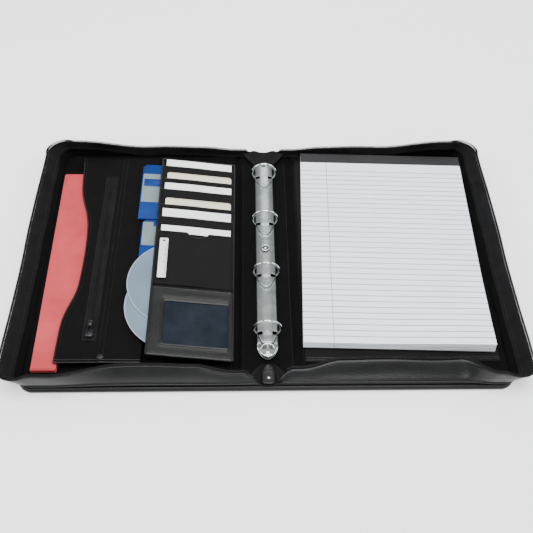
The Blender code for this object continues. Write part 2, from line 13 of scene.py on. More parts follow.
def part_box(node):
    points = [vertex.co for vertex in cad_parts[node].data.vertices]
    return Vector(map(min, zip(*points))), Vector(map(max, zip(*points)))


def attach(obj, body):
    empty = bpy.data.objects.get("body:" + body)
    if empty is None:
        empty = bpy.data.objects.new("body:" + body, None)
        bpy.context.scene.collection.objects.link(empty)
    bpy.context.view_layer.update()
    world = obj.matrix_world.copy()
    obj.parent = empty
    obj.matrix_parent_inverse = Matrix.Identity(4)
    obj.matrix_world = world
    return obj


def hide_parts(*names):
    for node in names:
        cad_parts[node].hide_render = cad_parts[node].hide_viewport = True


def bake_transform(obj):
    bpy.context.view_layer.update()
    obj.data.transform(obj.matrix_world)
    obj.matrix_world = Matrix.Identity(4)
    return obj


MM = 0.001
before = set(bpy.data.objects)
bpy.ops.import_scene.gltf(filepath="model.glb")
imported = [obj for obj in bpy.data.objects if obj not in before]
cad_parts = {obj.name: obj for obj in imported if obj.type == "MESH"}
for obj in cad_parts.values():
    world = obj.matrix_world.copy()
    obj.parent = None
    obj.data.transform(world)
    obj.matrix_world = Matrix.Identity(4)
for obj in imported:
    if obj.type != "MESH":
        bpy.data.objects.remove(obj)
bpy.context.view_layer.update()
rng = random.Random(7)


def box(node):
    """A CAD node's box in millimetres, as (low, high)."""
    low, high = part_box(node)
    return [v / MM for v in low], [v / MM for v in high]


def middle(node):
    """Centre of a CAD node's box in millimetres."""
    low, high = box(node)
    return [(a + b) / 2 for a, b in zip(low, high)]


# ---------------------------------------------------------------- sizes
COVER_X, HALF_DEPTH, SKIN_T = box("right_cover_skin")[1]
LINING_Z = box("right_cover_lining")[1][2]
GUSSET_X, _, WALL_TOP = box("right_gusset")[1]
SHEETS_BASE, SHEETS_TOP = [corner[2] for corner in box("pad_sheets")]
SLIP_LOW, SLIP_HIGH = box("slip_pocket")
POCKET_LOW, POCKET_HIGH = box("document_pocket")
PLATE_LOW, PLATE_HIGH = box("ring_plate")
COVER_R = 15.0
HINGE_X = 33.0
WALL_X = COVER_X - 3.0
WALL_Y = HALF_DEPTH - 3.0
WALL_R = 12.0
WALL_HALF_T = 1.0
WALL_KNEE = 6.8
SPINE_WALL_TOP = 8.0
SIDE_TOP = 26.0
BACK_TOP = 21.0
SIDE_LEAN = GUSSET_X - WALL_X - 1.0
END_LEAN = 1.8
FRONT_LEAN = {-1: -11.0, 1: -19.0}
FRONT_TOP = {-1: 29.0, 1: 25.5}
FRONT_LEAN_FROM = {-1: 232.0, 1: 242.0}
FRONT_LEAN_TO = {-1: 160.0, 1: 205.0}
TAPE_DEPTH = 11.0
PLATE_HALF_W = 11.6
RING_YS = [middle("ring_left_%d" % k)[1] for k in (1, 2, 3, 4)]
RING_R = 15.2
RING_Z = 21.5
WIRE_R = 1.55
SLOPE = math.radians(4.2)
ORGANISER_X = -38.6
ORGANISER_Z = 7.0
ORGANISER_W = 93.0
ORGANISER_Y = (-145.0, 152.0)
ORGANISER_SKEW = 0.06
DISK_SIZE = (90.0, 94.0)
DISC_X = -62.0
DISC_R = 60.0
PAD_CENTRE = (149.3, 18.0)
PAD_TURN = math.radians(-2.0)
PAD_HALF_W = 105.0
PAD_HALF_L = 148.5


# ---------------------------------------------------------------- materials
def shader_material(name, roughness, metallic=0.0, **sockets):
    """A material with a Principled shader; fixed values go straight on its sockets."""
    mat = bpy.data.materials.new(name)
    mat.use_nodes = True
    shader = mat.node_tree.nodes["Principled BSDF"]
    shader.inputs["Roughness"].default_value = roughness
    shader.inputs["Metallic"].default_value = metallic
    for key, value in sockets.items():
        shader.inputs[key.replace("_", " ")].default_value = value
    return mat, mat.node_tree, shader


def add(tree, kind, **values):
    """A new node; keyword values are its properties, or inputs by name where it has them."""
    node = tree.nodes.new(kind)
    for key, value in values.items():
        label = key.replace("_", " ")
        if label in node.inputs:
            node.inputs[label].default_value = value
        else:
            setattr(node, key, value)
    return node


def math_node(tree, operation, first, second=None, third=None):
    """A Math node fed by sockets or numbers; returns its output socket."""
    node = tree.nodes.new("ShaderNodeMath")
    node.operation = operation
    for index, value in enumerate((first, second, third)):
        if value is None:
            continue
        if hasattr(value, "links"):
            tree.links.new(value, node.inputs[index])
        else:
            node.inputs[index].default_value = value
    return node.outputs[0]


def object_coords(tree):
    """Object coordinates, in metres."""
    return tree.nodes.new("ShaderNodeTexCoord").outputs["Object"]


def noise(tree, scale, detail=3.0, roughness=0.55):
    """Noise over object coordinates; returns the factor socket."""
    node = add(tree, "ShaderNodeTexNoise", Scale=scale, Detail=detail, Roughness=roughness)
    tree.links.new(object_coords(tree), node.inputs["Vector"])
    return node.outputs["Fac"]


def ramp(tree, factor, stops):
    """A colour ramp; stops are (position, colour)."""
    node = tree.nodes.new("ShaderNodeValToRGB")
    elements = node.color_ramp.elements
    while len(elements) < len(stops):
        elements.new(0.5)
    for element, (position, colour) in zip(elements, stops):
        element.position = position
        element.color = (*colour, 1.0) if len(colour) == 3 else colour
    tree.links.new(factor, node.inputs["Fac"])
    return node.outputs["Color"]


def mix_colour(tree, factor, first, second):
    """Mix two colours (sockets or tuples) by a factor socket."""
    node = tree.nodes.new("ShaderNodeMix")
    node.data_type = "RGBA"
    tree.links.new(factor, node.inputs[0])
    for index, value in ((6, first), (7, second)):
        if hasattr(value, "links"):
            tree.links.new(value, node.inputs[index])
        else:
            node.inputs[index].default_value = (*value, 1.0)
    return node.outputs[2]


def bump(tree, shader, height, strength, distance):
    """Bump from a height socket."""
    node = add(tree, "ShaderNodeBump", Strength=strength, Distance=distance)
    tree.links.new(height, node.inputs["Height"])
    tree.links.new(node.outputs["Normal"], shader.inputs["Normal"])


def rough_range(tree, shader, factor, low, high):
    """Roughness that varies between low and high with a factor socket."""
    node = add(tree, "ShaderNodeMapRange")
    node.inputs["To Min"].default_value = low
    node.inputs["To Max"].default_value = high
    tree.links.new(factor, node.inputs["Value"])
    tree.links.new(node.outputs["Result"], shader.inputs["Roughness"])


def leather(name, dark, light, low=0.28, high=0.46, spec=0.25, cell=1.3):
    """Grained leatherette: small cells with creases between them, worn sheen in patches."""
    mat, tree, shader = shader_material(name, low, Specular_IOR_Level=spec)
    cells = add(tree, "ShaderNodeTexVoronoi", Scale=1000.0 / cell)
    cells.feature = "SMOOTH_F1"
    tree.links.new(object_coords(tree), cells.inputs["Vector"])
    patches = noise(tree, 35.0)
    fine = noise(tree, 900.0, 2.0)
    height = math_node(tree, "ADD", cells.outputs["Distance"], math_node(tree, "MULTIPLY", fine, 0.5))
    bump(tree, shader, height, 0.35, 0.0004)
    colour = ramp(tree, patches, [(0.3, dark), (0.75, light)])
    tree.links.new(colour, shader.inputs["Base Color"])
    rough_range(tree, shader, patches, low, high)
    return mat


def woven(name, dark, light, thread=0.9, rough=0.75, strength=0.5):
    """Plain weave: crossed threads as two wave textures."""
    mat, tree, shader = shader_material(name, rough, Specular_IOR_Level=0.05, Sheen_Weight=0.01,
                                        Sheen_Roughness=0.5)
    waves = []
    for direction in ("X", "Y"):
        node = add(tree, "ShaderNodeTexWave", Scale=2 * math.pi / (20 * thread * MM), Distortion=0.3)
        node.bands_direction = direction
        tree.links.new(object_coords(tree), node.inputs["Vector"])
        waves.append(node.outputs["Fac"])
    weave = math_node(tree, "MULTIPLY", waves[0], waves[1])
    patches = noise(tree, 60.0)
    both = math_node(tree, "ADD", math_node(tree, "MULTIPLY", weave, 0.6),
                     math_node(tree, "MULTIPLY", patches, 0.5))
    tree.links.new(ramp(tree, both, [(0.15, dark), (0.85, light)]), shader.inputs["Base Color"])
    bump(tree, shader, weave, strength, 0.0003)
    return mat


def metal(name, colour, low, high, brushed=True):
    """Plated metal with fine brushing along Y and faint smudges."""
    mat, tree, shader = shader_material(name, low, 1.0)
    mapping = add(tree, "ShaderNodeMapping")
    mapping.inputs["Scale"].default_value = (1800.0, 60.0 if brushed else 1800.0, 1800.0)
    tree.links.new(object_coords(tree), mapping.inputs["Vector"])
    grain = add(tree, "ShaderNodeTexNoise", Scale=1.0, Detail=2.0)
    tree.links.new(mapping.outputs["Vector"], grain.inputs["Vector"])
    smudge = noise(tree, 120.0)
    lighter = tuple(min(1.0, c * 1.12) for c in colour)
    darker = tuple(c * 0.8 for c in colour)
    tree.links.new(ramp(tree, smudge, [(0.3, darker), (0.7, lighter)]), shader.inputs["Base Color"])
    rough_range(tree, shader, grain.outputs["Fac"], low, high)
    bump(tree, shader, grain.outputs["Fac"], 0.06, 0.0001)
    return mat


def paper(name, dark, light, fibre=0.08):
    """Uncoated paper with fibre bump."""
    mat, tree, shader = shader_material(name, 0.78)
    fibres = noise(tree, 1400.0, 4.0)
    patches = noise(tree, 25.0)
    tree.links.new(ramp(tree, patches, [(0.3, dark), (0.7, light)]), shader.inputs["Base Color"])
    bump(tree, shader, fibres, fibre, 0.0001)
    return mat


def ruled_paper(name, first_y, last_y, margin_x):
    """Writing paper in the turned pad's frame: rules every 8 mm, a margin line, page edges at the sides."""
    mat, tree, shader = shader_material(name, 0.72)
    mapping = add(tree, "ShaderNodeMapping")
    mapping.vector_type = "TEXTURE"
    mapping.inputs["Location"].default_value = (PAD_CENTRE[0] * MM, PAD_CENTRE[1] * MM, 0.0)
    mapping.inputs["Rotation"].default_value = (0.0, 0.0, PAD_TURN)
    tree.links.new(object_coords(tree), mapping.inputs["Vector"])
    split = tree.nodes.new("ShaderNodeSeparateXYZ")
    tree.links.new(mapping.outputs["Vector"], split.inputs[0])
    turns = math_node(tree, "DIVIDE", math_node(tree, "SUBTRACT", first_y * MM, split.outputs["Y"]), 0.008)
    on_rule = math_node(tree, "COMPARE", math_node(tree, "FRACT", turns), 0.5, 0.055)
    inside = math_node(tree, "LESS_THAN", split.outputs["Y"], first_y * MM)
    above = math_node(tree, "GREATER_THAN", split.outputs["Y"], last_y * MM)
    rules = math_node(tree, "MULTIPLY", on_rule, math_node(tree, "MULTIPLY", inside, above))
    on_margin = math_node(tree, "COMPARE", split.outputs["X"], margin_x * MM, 0.00035)
    geometry = tree.nodes.new("ShaderNodeNewGeometry")
    facing = tree.nodes.new("ShaderNodeSeparateXYZ")
    tree.links.new(geometry.outputs["Normal"], facing.inputs[0])
    on_top = math_node(tree, "GREATER_THAN", math_node(tree, "ABSOLUTE", facing.outputs["Z"]), 0.7)
    fibres = noise(tree, 1300.0, 4.0)
    base = ramp(tree, noise(tree, 18.0), [(0.3, (0.80, 0.86, 0.95)), (0.7, (0.86, 0.91, 0.98))])
    ruled = mix_colour(tree, math_node(tree, "MULTIPLY", rules, on_top), base, (0.17, 0.20, 0.27))
    lined = mix_colour(tree, math_node(tree, "MULTIPLY", on_margin, on_top), ruled, (0.36, 0.16, 0.19))
    leaves = math_node(tree, "FRACT", math_node(tree, "MULTIPLY", split.outputs["Z"], 2600.0))
    edge = ramp(tree, leaves, [(0.0, (0.50, 0.52, 0.54)), (0.5, (0.80, 0.81, 0.82))])
    tree.links.new(mix_colour(tree, on_top, edge, lined), shader.inputs["Base Color"])
    bump(tree, shader, fibres, 0.05, 0.0001)
    return mat


def plastic(name, dark, light, rough=0.35, metallic=0.0, scale=400.0, **sockets):
    """Moulded plastic with fine spark texture."""
    mat, tree, shader = shader_material(name, rough, metallic, **sockets)
    grain = noise(tree, scale, 2.0)
    tree.links.new(ramp(tree, noise(tree, 40.0), [(0.3, dark), (0.7, light)]), shader.inputs["Base Color"])
    bump(tree, shader, grain, 0.08, 0.0001)
    rough_range(tree, shader, grain, rough * 0.8, rough * 1.2)
    return mat


def disc_material(name, centre):
    """Mirrored disc: rings of slightly different sheen about its centre."""
    mat, tree, shader = shader_material(name, 0.34, 0.35, Anisotropic=0.5)
    offset = add(tree, "ShaderNodeVectorMath")
    offset.operation = "DISTANCE"
    offset.inputs[1].default_value = [v * MM for v in centre]
    tree.links.new(object_coords(tree), offset.inputs[0])
    rings = math_node(tree, "MULTIPLY", offset.outputs["Value"], 1.0 / (DISC_R * MM))
    stops = [(0.0, (0.60, 0.66, 0.70)), (0.36, (0.30, 0.36, 0.42)), (0.40, (0.15, 0.215, 0.27)),
             (0.97, (0.135, 0.195, 0.25)), (1.0, (0.4, 0.46, 0.5))]
    colour = ramp(tree, rings, stops)
    tree.links.new(colour, shader.inputs["Base Color"])
    grooves = math_node(tree, "SINE", math_node(tree, "MULTIPLY", offset.outputs["Value"], 9000.0))
    bump(tree, shader, grooves, 0.04, 0.0001)
    return mat


M = {}


def make_materials():
    """Every material of the case."""
    M["leather"] = leather("black_leatherette", (0.004, 0.004, 0.0045), (0.011, 0.0108, 0.0105))
    M["gloss_leather"] = leather("glossy_leatherette", (0.004, 0.0042, 0.0045), (0.007, 0.0074, 0.008),
                                 0.24, 0.38, 0.28)
    M["inner_leather"] = leather("inner_leatherette", (0.003, 0.003, 0.003), (0.0055, 0.0054, 0.0052),
                                 0.5, 0.7, 0.10)
    M["lining"] = woven("woven_lining", (0.0012, 0.0012, 0.0014), (0.0045, 0.0045, 0.0048))
    M["pocket_cloth"] = woven("pocket_cloth", (0.0014, 0.0014, 0.0015), (0.0055, 0.0053, 0.005), 0.7, 0.6)
    M["tape"] = woven("zip_tape_weave", (0.004, 0.004, 0.0045), (0.016, 0.016, 0.017), 1.2, 0.7, 0.8)
    M["teeth"] = plastic("zip_coil_nylon", (0.003, 0.003, 0.0035), (0.010, 0.010, 0.0105), 0.5,
                         Specular_IOR_Level=0.2)
    M["thread"] = woven("sewing_thread", (0.010, 0.010, 0.0095), (0.045, 0.044, 0.042), 0.3, 0.6)
    M["dark_metal"] = metal("gunmetal", (0.030, 0.030, 0.032), 0.25, 0.4)
    M["nickel"] = metal("satin_nickel", (0.27, 0.30, 0.295), 0.26, 0.42)
    M["chrome"] = metal("polished_chrome", (0.62, 0.64, 0.65), 0.05, 0.16, False)
    M["ruled"] = ruled_paper("ruled_paper", PAD_HALF_L - 28.0, -PAD_HALF_L + 5.0, -PAD_HALF_W + 33.5)
    M["binding"] = paper("binding_tape", (0.006, 0.006, 0.007), (0.011, 0.011, 0.0125), 0.3)
    M["board"] = paper("greyboard", (0.22, 0.22, 0.21), (0.34, 0.34, 0.33), 0.3)
    M["label"] = paper("label_paper", (0.88, 0.89, 0.92), (0.94, 0.95, 0.97))
    M["pink"] = paper("pink_paper", (0.40, 0.026, 0.034), (0.50, 0.048, 0.058))
    M["blue"] = plastic("blue_disk", (0.0006, 0.022, 0.13), (0.0012, 0.034, 0.19), 0.45,
                        Specular_IOR_Level=0.2)
    M["disk_label"] = paper("disk_label", (0.13, 0.175, 0.185), (0.17, 0.22, 0.225))
    M["card"] = plastic("cream_card", (0.66, 0.64, 0.48), (0.74, 0.72, 0.56), 0.38)
    M["card_rim"] = plastic("card_print", (0.30, 0.13, 0.08), (0.36, 0.17, 0.11), 0.4)
    M["white"] = plastic("white_plastic", (0.74, 0.76, 0.77), (0.84, 0.85, 0.86), 0.3)
    # Black for the ruler's printed ticks and hole, and also the painted shade in and round the eyelet and in
    # the lever's windows.
    M["ink"] = plastic("black_ink_and_painted_shade", (0.02, 0.02, 0.02), (0.04, 0.04, 0.04), 0.5)
    M["film"] = plastic("window_film", (0.006, 0.009, 0.014), (0.014, 0.019, 0.027), 0.16, 0.0, 30.0,
                        Specular_IOR_Level=0.16)


# ---------------------------------------------------------------- mesh helpers
def piece(name, verts, faces, material, body, slot, smooth=True, nodes=()):
    """A mesh piece in millimetres that rides on a body and may stand for CAD nodes."""
    mesh = bpy.data.meshes.new(name)
    mesh.from_pydata([tuple(c * MM for c in v) for v in verts], [], faces)
    mesh.update()
    obj = bpy.data.objects.new(name, mesh)
    bpy.context.scene.collection.objects.link(obj)
    mesh.materials.append(material)
    bm = bmesh.new()
    bm.from_mesh(mesh)
    bmesh.ops.recalc_face_normals(bm, faces=bm.faces)
    bm.to_mesh(mesh)
    bm.free()
    if smooth:
        mesh.shade_smooth()
        mesh.set_sharp_from_angle(angle=math.radians(42))
    if body:
        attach(obj, body)
    if nodes:
        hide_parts(*nodes)
    return obj


def grid_faces(rows, columns, close_columns=False, close_rows=False, start=0):
    """Quads of a grid of rows by columns vertices."""
    faces = []
    for i in range(rows if close_rows else rows - 1):
        for j in range(columns if close_columns else columns - 1):
            a = start + i * columns + j
            b = start + i * columns + (j + 1) % columns
            c = start + ((i + 1) % rows) * columns + (j + 1) % columns
            d = start + ((i + 1) % rows) * columns + j
            faces.append((a, b, c, d))
    return faces


def sweep(sections, closed=False):
    """Vertices and faces of a tube through equal closed sections, capped unless it is a loop."""
    columns = len(sections[0])
    verts = [p for section in sections for p in section]
    faces = grid_faces(len(sections), columns, True, closed)
    if not closed:
        faces.append(tuple(range(columns)))
        faces.append(tuple(range(len(verts) - columns, len(verts))))
    return verts, faces


def tube(points, radius, sides=10, closed=False, squash=1.0):
    """A round tube along points, as vertices and faces."""
    points = [Vector(p) for p in points]
    count = len(points)
    sections = []
    for i, point in enumerate(points):
        before = points[(i - 1) % count] if closed or i > 0 else point
        after = points[(i + 1) % count] if closed or i < count - 1 else point
        tangent = (after - before).normalized()
        side = tangent.cross(Vector((0, 0, 1)))
        if side.length < 0.05:
            side = tangent.cross(Vector((0, 1, 0)))
        side.normalize()
        up = side.cross(tangent)
        section = []
        for k in range(sides):
            turn = 2 * math.pi * k / sides
            section.append(tuple(point + radius * (math.cos(turn) * side + squash * math.sin(turn) * up)))
        sections.append(section)
    return sweep(sections, closed)


def join(parts):
    """Join several (verts, faces) into one."""
    verts = []
    faces = []
    for some_verts, some_faces in parts:
        start = len(verts)
        verts += list(some_verts)
        faces += [tuple(index + start for index in face) for face in some_faces]
    return verts, faces


def slab(outline, low, high, bevel=0.25):
    """A thin plate with eased edges: outline (x, y) points, z from low to high."""
    count = len(outline)
    centre = Vector((sum(p[0] for p in outline) / count, sum(p[1] for p in outline) / count))
    verts = []
    levels = ((low, bevel), (low + bevel, 0.0), (high - bevel, 0.0), (high, bevel))
    for z, inset in levels:
        for x, y in outline:
            away = Vector((x, y)) - centre
            sx = inset if away.x > 0 else -inset
            sy = inset if away.y > 0 else -inset
            verts.append((x - sx, y - sy, z))
    return sweep([verts[i:i + count] for i in range(0, 4 * count, count)])


def rounded(x0, x1, y0, y1, radius, steps=5):
    """Outline of a rectangle with round corners."""
    points = []
    for cx, cy, start in ((x1 - radius, y0 + radius, -90), (x1 - radius, y1 - radius, 0),
                          (x0 + radius, y1 - radius, 90), (x0 + radius, y0 + radius, 180)):
        for i in range(steps + 1):
            angle = math.radians(start + 90 * i / steps)
            points.append((cx + radius * math.cos(angle), cy + radius * math.sin(angle)))
    return points


def closed_skin(top, bottom, columns):
    """Two equal grids of points, closed along their border."""
    size = len(top)
    rows = size // columns
    faces = grid_faces(rows, columns)
    faces += [tuple(reversed([i + size for i in face])) for face in faces]
    border = list(range(columns)) + [r * columns + columns - 1 for r in range(1, rows)]
    border += [(rows - 1) * columns + c for c in range(columns - 2, -1, -1)]
    border += [r * columns for r in range(rows - 2, 0, -1)]
    for a, b in zip(border, border[1:] + border[:1]):
        faces.append((a, b, b + size, a + size))
    return top + bottom, faces


def sheet(xs, ys, height, thickness, edge=None):
    """A closed curved sheet over a grid; height(x, y) is its top, edge(x, y) may move x and y."""
    top = []
    for y in ys:
        for x in xs:
            px, py = edge(x, y) if edge else (x, y)
            top.append((px, py, height(px, py)))
    return closed_skin(top, [(x, y, z - thickness) for x, y, z in top], len(xs))


def tray_edge(side, limit_x, limit_y, radius):
    """Edge function of a sheet that fills one side of the case, with round outer corners."""
    def edge(x, y):
        ex, ey = x - (limit_x - radius), abs(y) - (limit_y - radius)
        if ex > 0 and ey > 0:
            pull = max(ex, ey) / math.hypot(ex, ey)
            return side * (limit_x - radius + ex * pull), math.copysign(limit_y - radius + ey * pull, y)
        return side * x, y

    return edge


def circle(cx, cy, radius, count, *z):
    """Points round a circle, as (x, y), or (x, y, z) where z is given."""
    turns = [2 * math.pi * k / count for k in range(count)]
    return [(cx + radius * math.cos(a), cy + radius * math.sin(a), *z) for a in turns]


def stitches(points, pitch=3.2, length=2.2, radius=0.32, lift=(0, 0, 0.2)):
    """A row of stitches along a line: short rounded beads with gaps."""
    points = [Vector(p) for p in points]
    lengths = [0.0]
    for a, b in zip(points, points[1:]):
        lengths.append(lengths[-1] + (b - a).length)

    def at(distance):
        for i in range(1, len(points)):
            if distance <= lengths[i]:
                share = (distance - lengths[i - 1]) / max(lengths[i] - lengths[i - 1], 1e-9)
                return points[i - 1].lerp(points[i], share)
        return points[-1]

    parts = []
    position = pitch / 2
    raise_by = Vector(lift)
    while position + length < lengths[-1]:
        start, end = at(position), at(position + length)
        path = [start - raise_by * 0.8, start.lerp(end, 0.25) + raise_by, start.lerp(end, 0.75) + raise_by,
                end - raise_by * 0.8]
        parts.append(tube(path, radius, 5))
        position += pitch
    return join(parts)


def smoothstep(low, high, value):
    """0 below low, 1 above high, smooth between."""
    share = min(1.0, max(0.0, (value - low) / (high - low)))
    return share * share * (3 - 2 * share)


def spaced(low, high, count):
    """count + 1 even values."""
    return [low + (high - low) * i / count for i in range(count + 1)]


# ---------------------------------------------------------------- rim path of one tray
def rim(start_x, side):
    """Stations along a tray's rim: base point, outward direction, top height and lean."""
    stations = []

    def station(x, y, out, top, lean):
        stations.append(((x, y), out, top, lean))

    def rise_at(x):
        """How far the end walls have risen at x: low over the spine, full on the cover."""
        return 0.62 * smoothstep(4.0, 26.0, x) + 0.38 * smoothstep(36.0, 78.0, x)

    def corner(end, tops, leans):
        """A quarter turn at the front (end -1) or back (end 1), between two tops and leans."""
        for share in spaced(0.0, 1.0, 16):
            angle = math.radians(90 * share - (90 if end < 0 else 0))
            out = (math.cos(angle), math.sin(angle))
            blend = smoothstep(0, 1, share)
            station(WALL_X - WALL_R + WALL_R * out[0], end * (WALL_Y - WALL_R) + WALL_R * out[1], out,
                    tops[0] + (tops[1] - tops[0]) * blend, leans[0] + (leans[1] - leans[0]) * blend)

    end_xs = spaced(start_x, WALL_X - WALL_R, 60)[:-1]
    for x in end_xs:
        rise = rise_at(x)
        flop = smoothstep(FRONT_LEAN_FROM[side], FRONT_LEAN_TO[side], x)
        full = WALL_TOP + (FRONT_TOP[side] - WALL_TOP) * flop
        top = SPINE_WALL_TOP + (full - SPINE_WALL_TOP + 0.5 * math.sin(x / 17.0)) * rise
        lean = (END_LEAN + (FRONT_LEAN[side] - END_LEAN) * flop) * (top - WALL_KNEE) / (full - WALL_KNEE)
        lean += 0.6 * math.sin(x / 23.0 + side) * rise
        station(x, -WALL_Y, (0.0, -1.0), top, lean)
    corner(-1, (WALL_TOP, SIDE_TOP), (END_LEAN, SIDE_LEAN))
    for y in spaced(-WALL_Y + WALL_R, WALL_Y - WALL_R, 60)[1:-1]:
        sag = math.sin(math.pi * (y + WALL_Y) / (2 * WALL_Y))
        top = SIDE_TOP - 1.2 * sag + 0.35 * math.sin(y / 13.0)
        station(WALL_X, y, (1.0, 0.0), top, SIDE_LEAN + 0.6 * math.sin(y / 31.0) - 0.5)
    corner(1, (SIDE_TOP, WALL_TOP), (SIDE_LEAN, END_LEAN))
    for x in reversed(end_xs):
        rise = rise_at(x)
        full = BACK_TOP + (WALL_TOP - BACK_TOP) * smoothstep(150.0, WALL_X - WALL_R, x)
        top = SPINE_WALL_TOP + (full - SPINE_WALL_TOP + 0.6 * math.sin(x / 15.0)) * rise
        station(x, WALL_Y, (0.0, 1.0), top, (END_LEAN + 0.4 * math.sin(x / 19.0)) * rise)
    return stations


def on_wall(station, z, offset, side):
    """A point at height z on the wall, offset outwards; the wall leans and bellies slightly."""
    base, out, top, lean = station
    share = max(0.0, (z - WALL_KNEE) / max(top - WALL_KNEE, 0.5))
    belly = (1.0 + 0.10 * max(0.0, -lean)) * math.sin(math.pi * min(share, 1.0)) * min(1.0, top / 25.0)
    reach = lean * share + offset + belly
    return (side * (base[0] + out[0] * reach), base[1] + out[1] * reach, z)


def wall_line(stations, side, height, offset):
    """A line along the wall; height(station) gives z."""
    return [on_wall(s, height(s), offset, side) for s in stations]


# ---------------------------------------------------------------- shell
def fold_blend(obj):
    """Bake a piece's transform into its mesh; the piece is not bent across the fold between the spine and a
    cover.
    """
    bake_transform(obj)


def shell(side, prefix):
    """Everything soft round one cover: padded skin, gusset wall, piping, zip and stitching."""
    skin_nodes = [prefix + "_cover_skin"] + (["spine_skin", "spine_board"] if side > 0 else [])
    xs = spaced(0.0, COVER_X, 88)

    verts, faces = sheet(xs, spaced(-HALF_DEPTH, HALF_DEPTH, 60), lambda x, y: SKIN_T, SKIN_T,
                         tray_edge(side, COVER_X, HALF_DEPTH, COVER_R))
    skin = piece(prefix + "_padded_skin", verts, faces, M["leather"], None, "leatherette", nodes=skin_nodes)
    fold_blend(skin)

    stations = rim(0.0, side)
    edge_profile = [(0.6, 0.15), (2.3, 0.0), (3.4, 0.5), (3.9, 1.8), (3.8, 3.4), (3.2, 4.7), (2.0, 5.4),
                    (1.0, 5.2)]
    sections = []
    for s in stations:
        base, out = s[0], s[1]
        sections.append([(side * (base[0] + out[0] * r), base[1] + out[1] * r, z) for r, z in edge_profile])
    verts, faces = sweep(sections)
    edge = piece(prefix + "_padded_edge", verts, faces, M["gloss_leather"], None, "leatherette")
    fold_blend(edge)

    half = WALL_HALF_T
    sections = []
    for s in stations:
        top = s[2]
        levels = [SKIN_T + (top - SKIN_T) * t for t in (0.0, 0.12, 0.22, 0.35, 0.5, 0.65, 0.8, 0.9, 0.97)]
        outer = [on_wall(s, z, half, side) for z in levels] + [on_wall(s, top, half * 0.5, side)]
        inner = [on_wall(s, top, -half * 0.5, side)] + [on_wall(s, z, -half, side) for z in reversed(levels)]
        sections.append(outer + inner)
    verts, faces = sweep(sections)
    wall = piece(prefix + "_gusset_wall", verts, faces, M["gloss_leather"], None, "leatherette",
                 nodes=[prefix + "_gusset"])
    wall.data.materials.append(M["lining"])
    columns = len(sections[0])
    for polygon in wall.data.polygons:
        if polygon.index < (len(sections) - 1) * columns and polygon.index % columns >= columns // 2:
            polygon.material_index = 1
    fold_blend(wall)

    zipped = [s for s in stations if s[0][0] > 20.0]
    sections = []
    for s in zipped:
        top = s[2]
        low = max(top - TAPE_DEPTH, WALL_KNEE + 0.6)
        heights = [low + (top + 0.8 - low) * t for t in (0.0, 0.25, 0.5, 0.75, 1.0)]
        outer = [on_wall(s, z, -1.7, side) for z in heights]
        inner = [on_wall(s, z, -2.7, side) for z in reversed(heights)]
        crest, foot = on_wall(s, top + 1.2, -2.2, side), on_wall(s, low - 0.4, -2.2, side)
        sections.append(outer + [crest] + inner + [foot])
    verts, faces = sweep(sections)
    tape = piece(prefix + "_zip_tape_cloth", verts, faces, M["tape"], None, "zip_textile",
                 nodes=[prefix + "_zip_tape"])
    fold_blend(tape)

    teeth = zip_teeth(wall_line(zipped, side, lambda s: s[2] + 1.5, -0.2))
    coil = piece(prefix + "_zip_teeth", *teeth, M["teeth"], None, "zip_textile", nodes=[prefix + "_zip_coil"])
    fold_blend(coil)

    beads = [tube(wall_line(stations, side, lambda s: min(7.0, s[2] - 1.0), 2.1), 1.15, 10)]
    upper_line = [s for s in stations if s[2] > 14.0]
    beads.append(tube(wall_line(upper_line, side, lambda s: 11.0, 1.3), 0.8, 8))
    piping = piece(prefix + "_piping", *join(beads), M["gloss_leather"], None, "leatherette")
    fold_blend(piping)

    outer_line = wall_line([s for s in stations if s[2] > 16.4], side, lambda s: 13.4, 1.1)
    inner_line = wall_line([s for s in zipped if s[2] > 16.0], side, lambda s: s[2] - 8.0, -2.75)
    rows = [stitches(outer_line, lift=(0, 0, 0)), stitches(inner_line, 3.0, 2.0, 0.25, (0, 0, 0))]
    seam = piece(prefix + "_wall_stitching", *join(rows), M["thread"], None, "zip_textile")
    fold_blend(seam)


def zip_teeth(line):
    """Nylon coil along a line: one small rounded bead per turn."""
    points = [Vector(p) for p in line]
    parts = []
    carried = 0.0
    pitch = 1.5
    for a, b in zip(points, points[1:]):
        step = (b - a).length
        along = (b - a).normalized()
        across = along.cross(Vector((0, 0, 1))).normalized()
        while carried < step:
            centre = a + along * carried
            verts = []
            for end, size in ((-1.0, 0.55), (-0.45, 1.0), (0.45, 1.0), (1.0, 0.55)):
                for k in range(6):
                    turn = 2 * math.pi * k / 6
                    offset = along * (0.62 * size * math.cos(turn)) + across * (end * 1.5)
                    verts.append(tuple(centre + offset + Vector((0, 0, 0.95 * size * math.sin(turn)))))
            faces = grid_faces(4, 6, True)
            faces.append(tuple(range(6)))
            faces.append(tuple(range(18, 24)))
            parts.append((verts, faces))
            carried += pitch
        carried -= step
    return join(parts)


def lining_height(x, y):
    """Top of the lining: flat, dipping at the fold and rising a little at the wall's foot."""
    x = abs(x)
    z = LINING_Z - 2.7 * math.exp(-((x - HINGE_X) / 3.6) ** 2)
    foot = smoothstep(WALL_X - 8.0, WALL_X - 1.0, x) + smoothstep(WALL_Y - 7.0, WALL_Y - 1.0, abs(y))
    ripple = 0.22 * math.sin(x / 9.0 + 0.4 * math.sin(y / 21.0)) * math.sin(y / 26.0)
    return z + 1.2 * foot + ripple * smoothstep(40.0, 60.0, x)


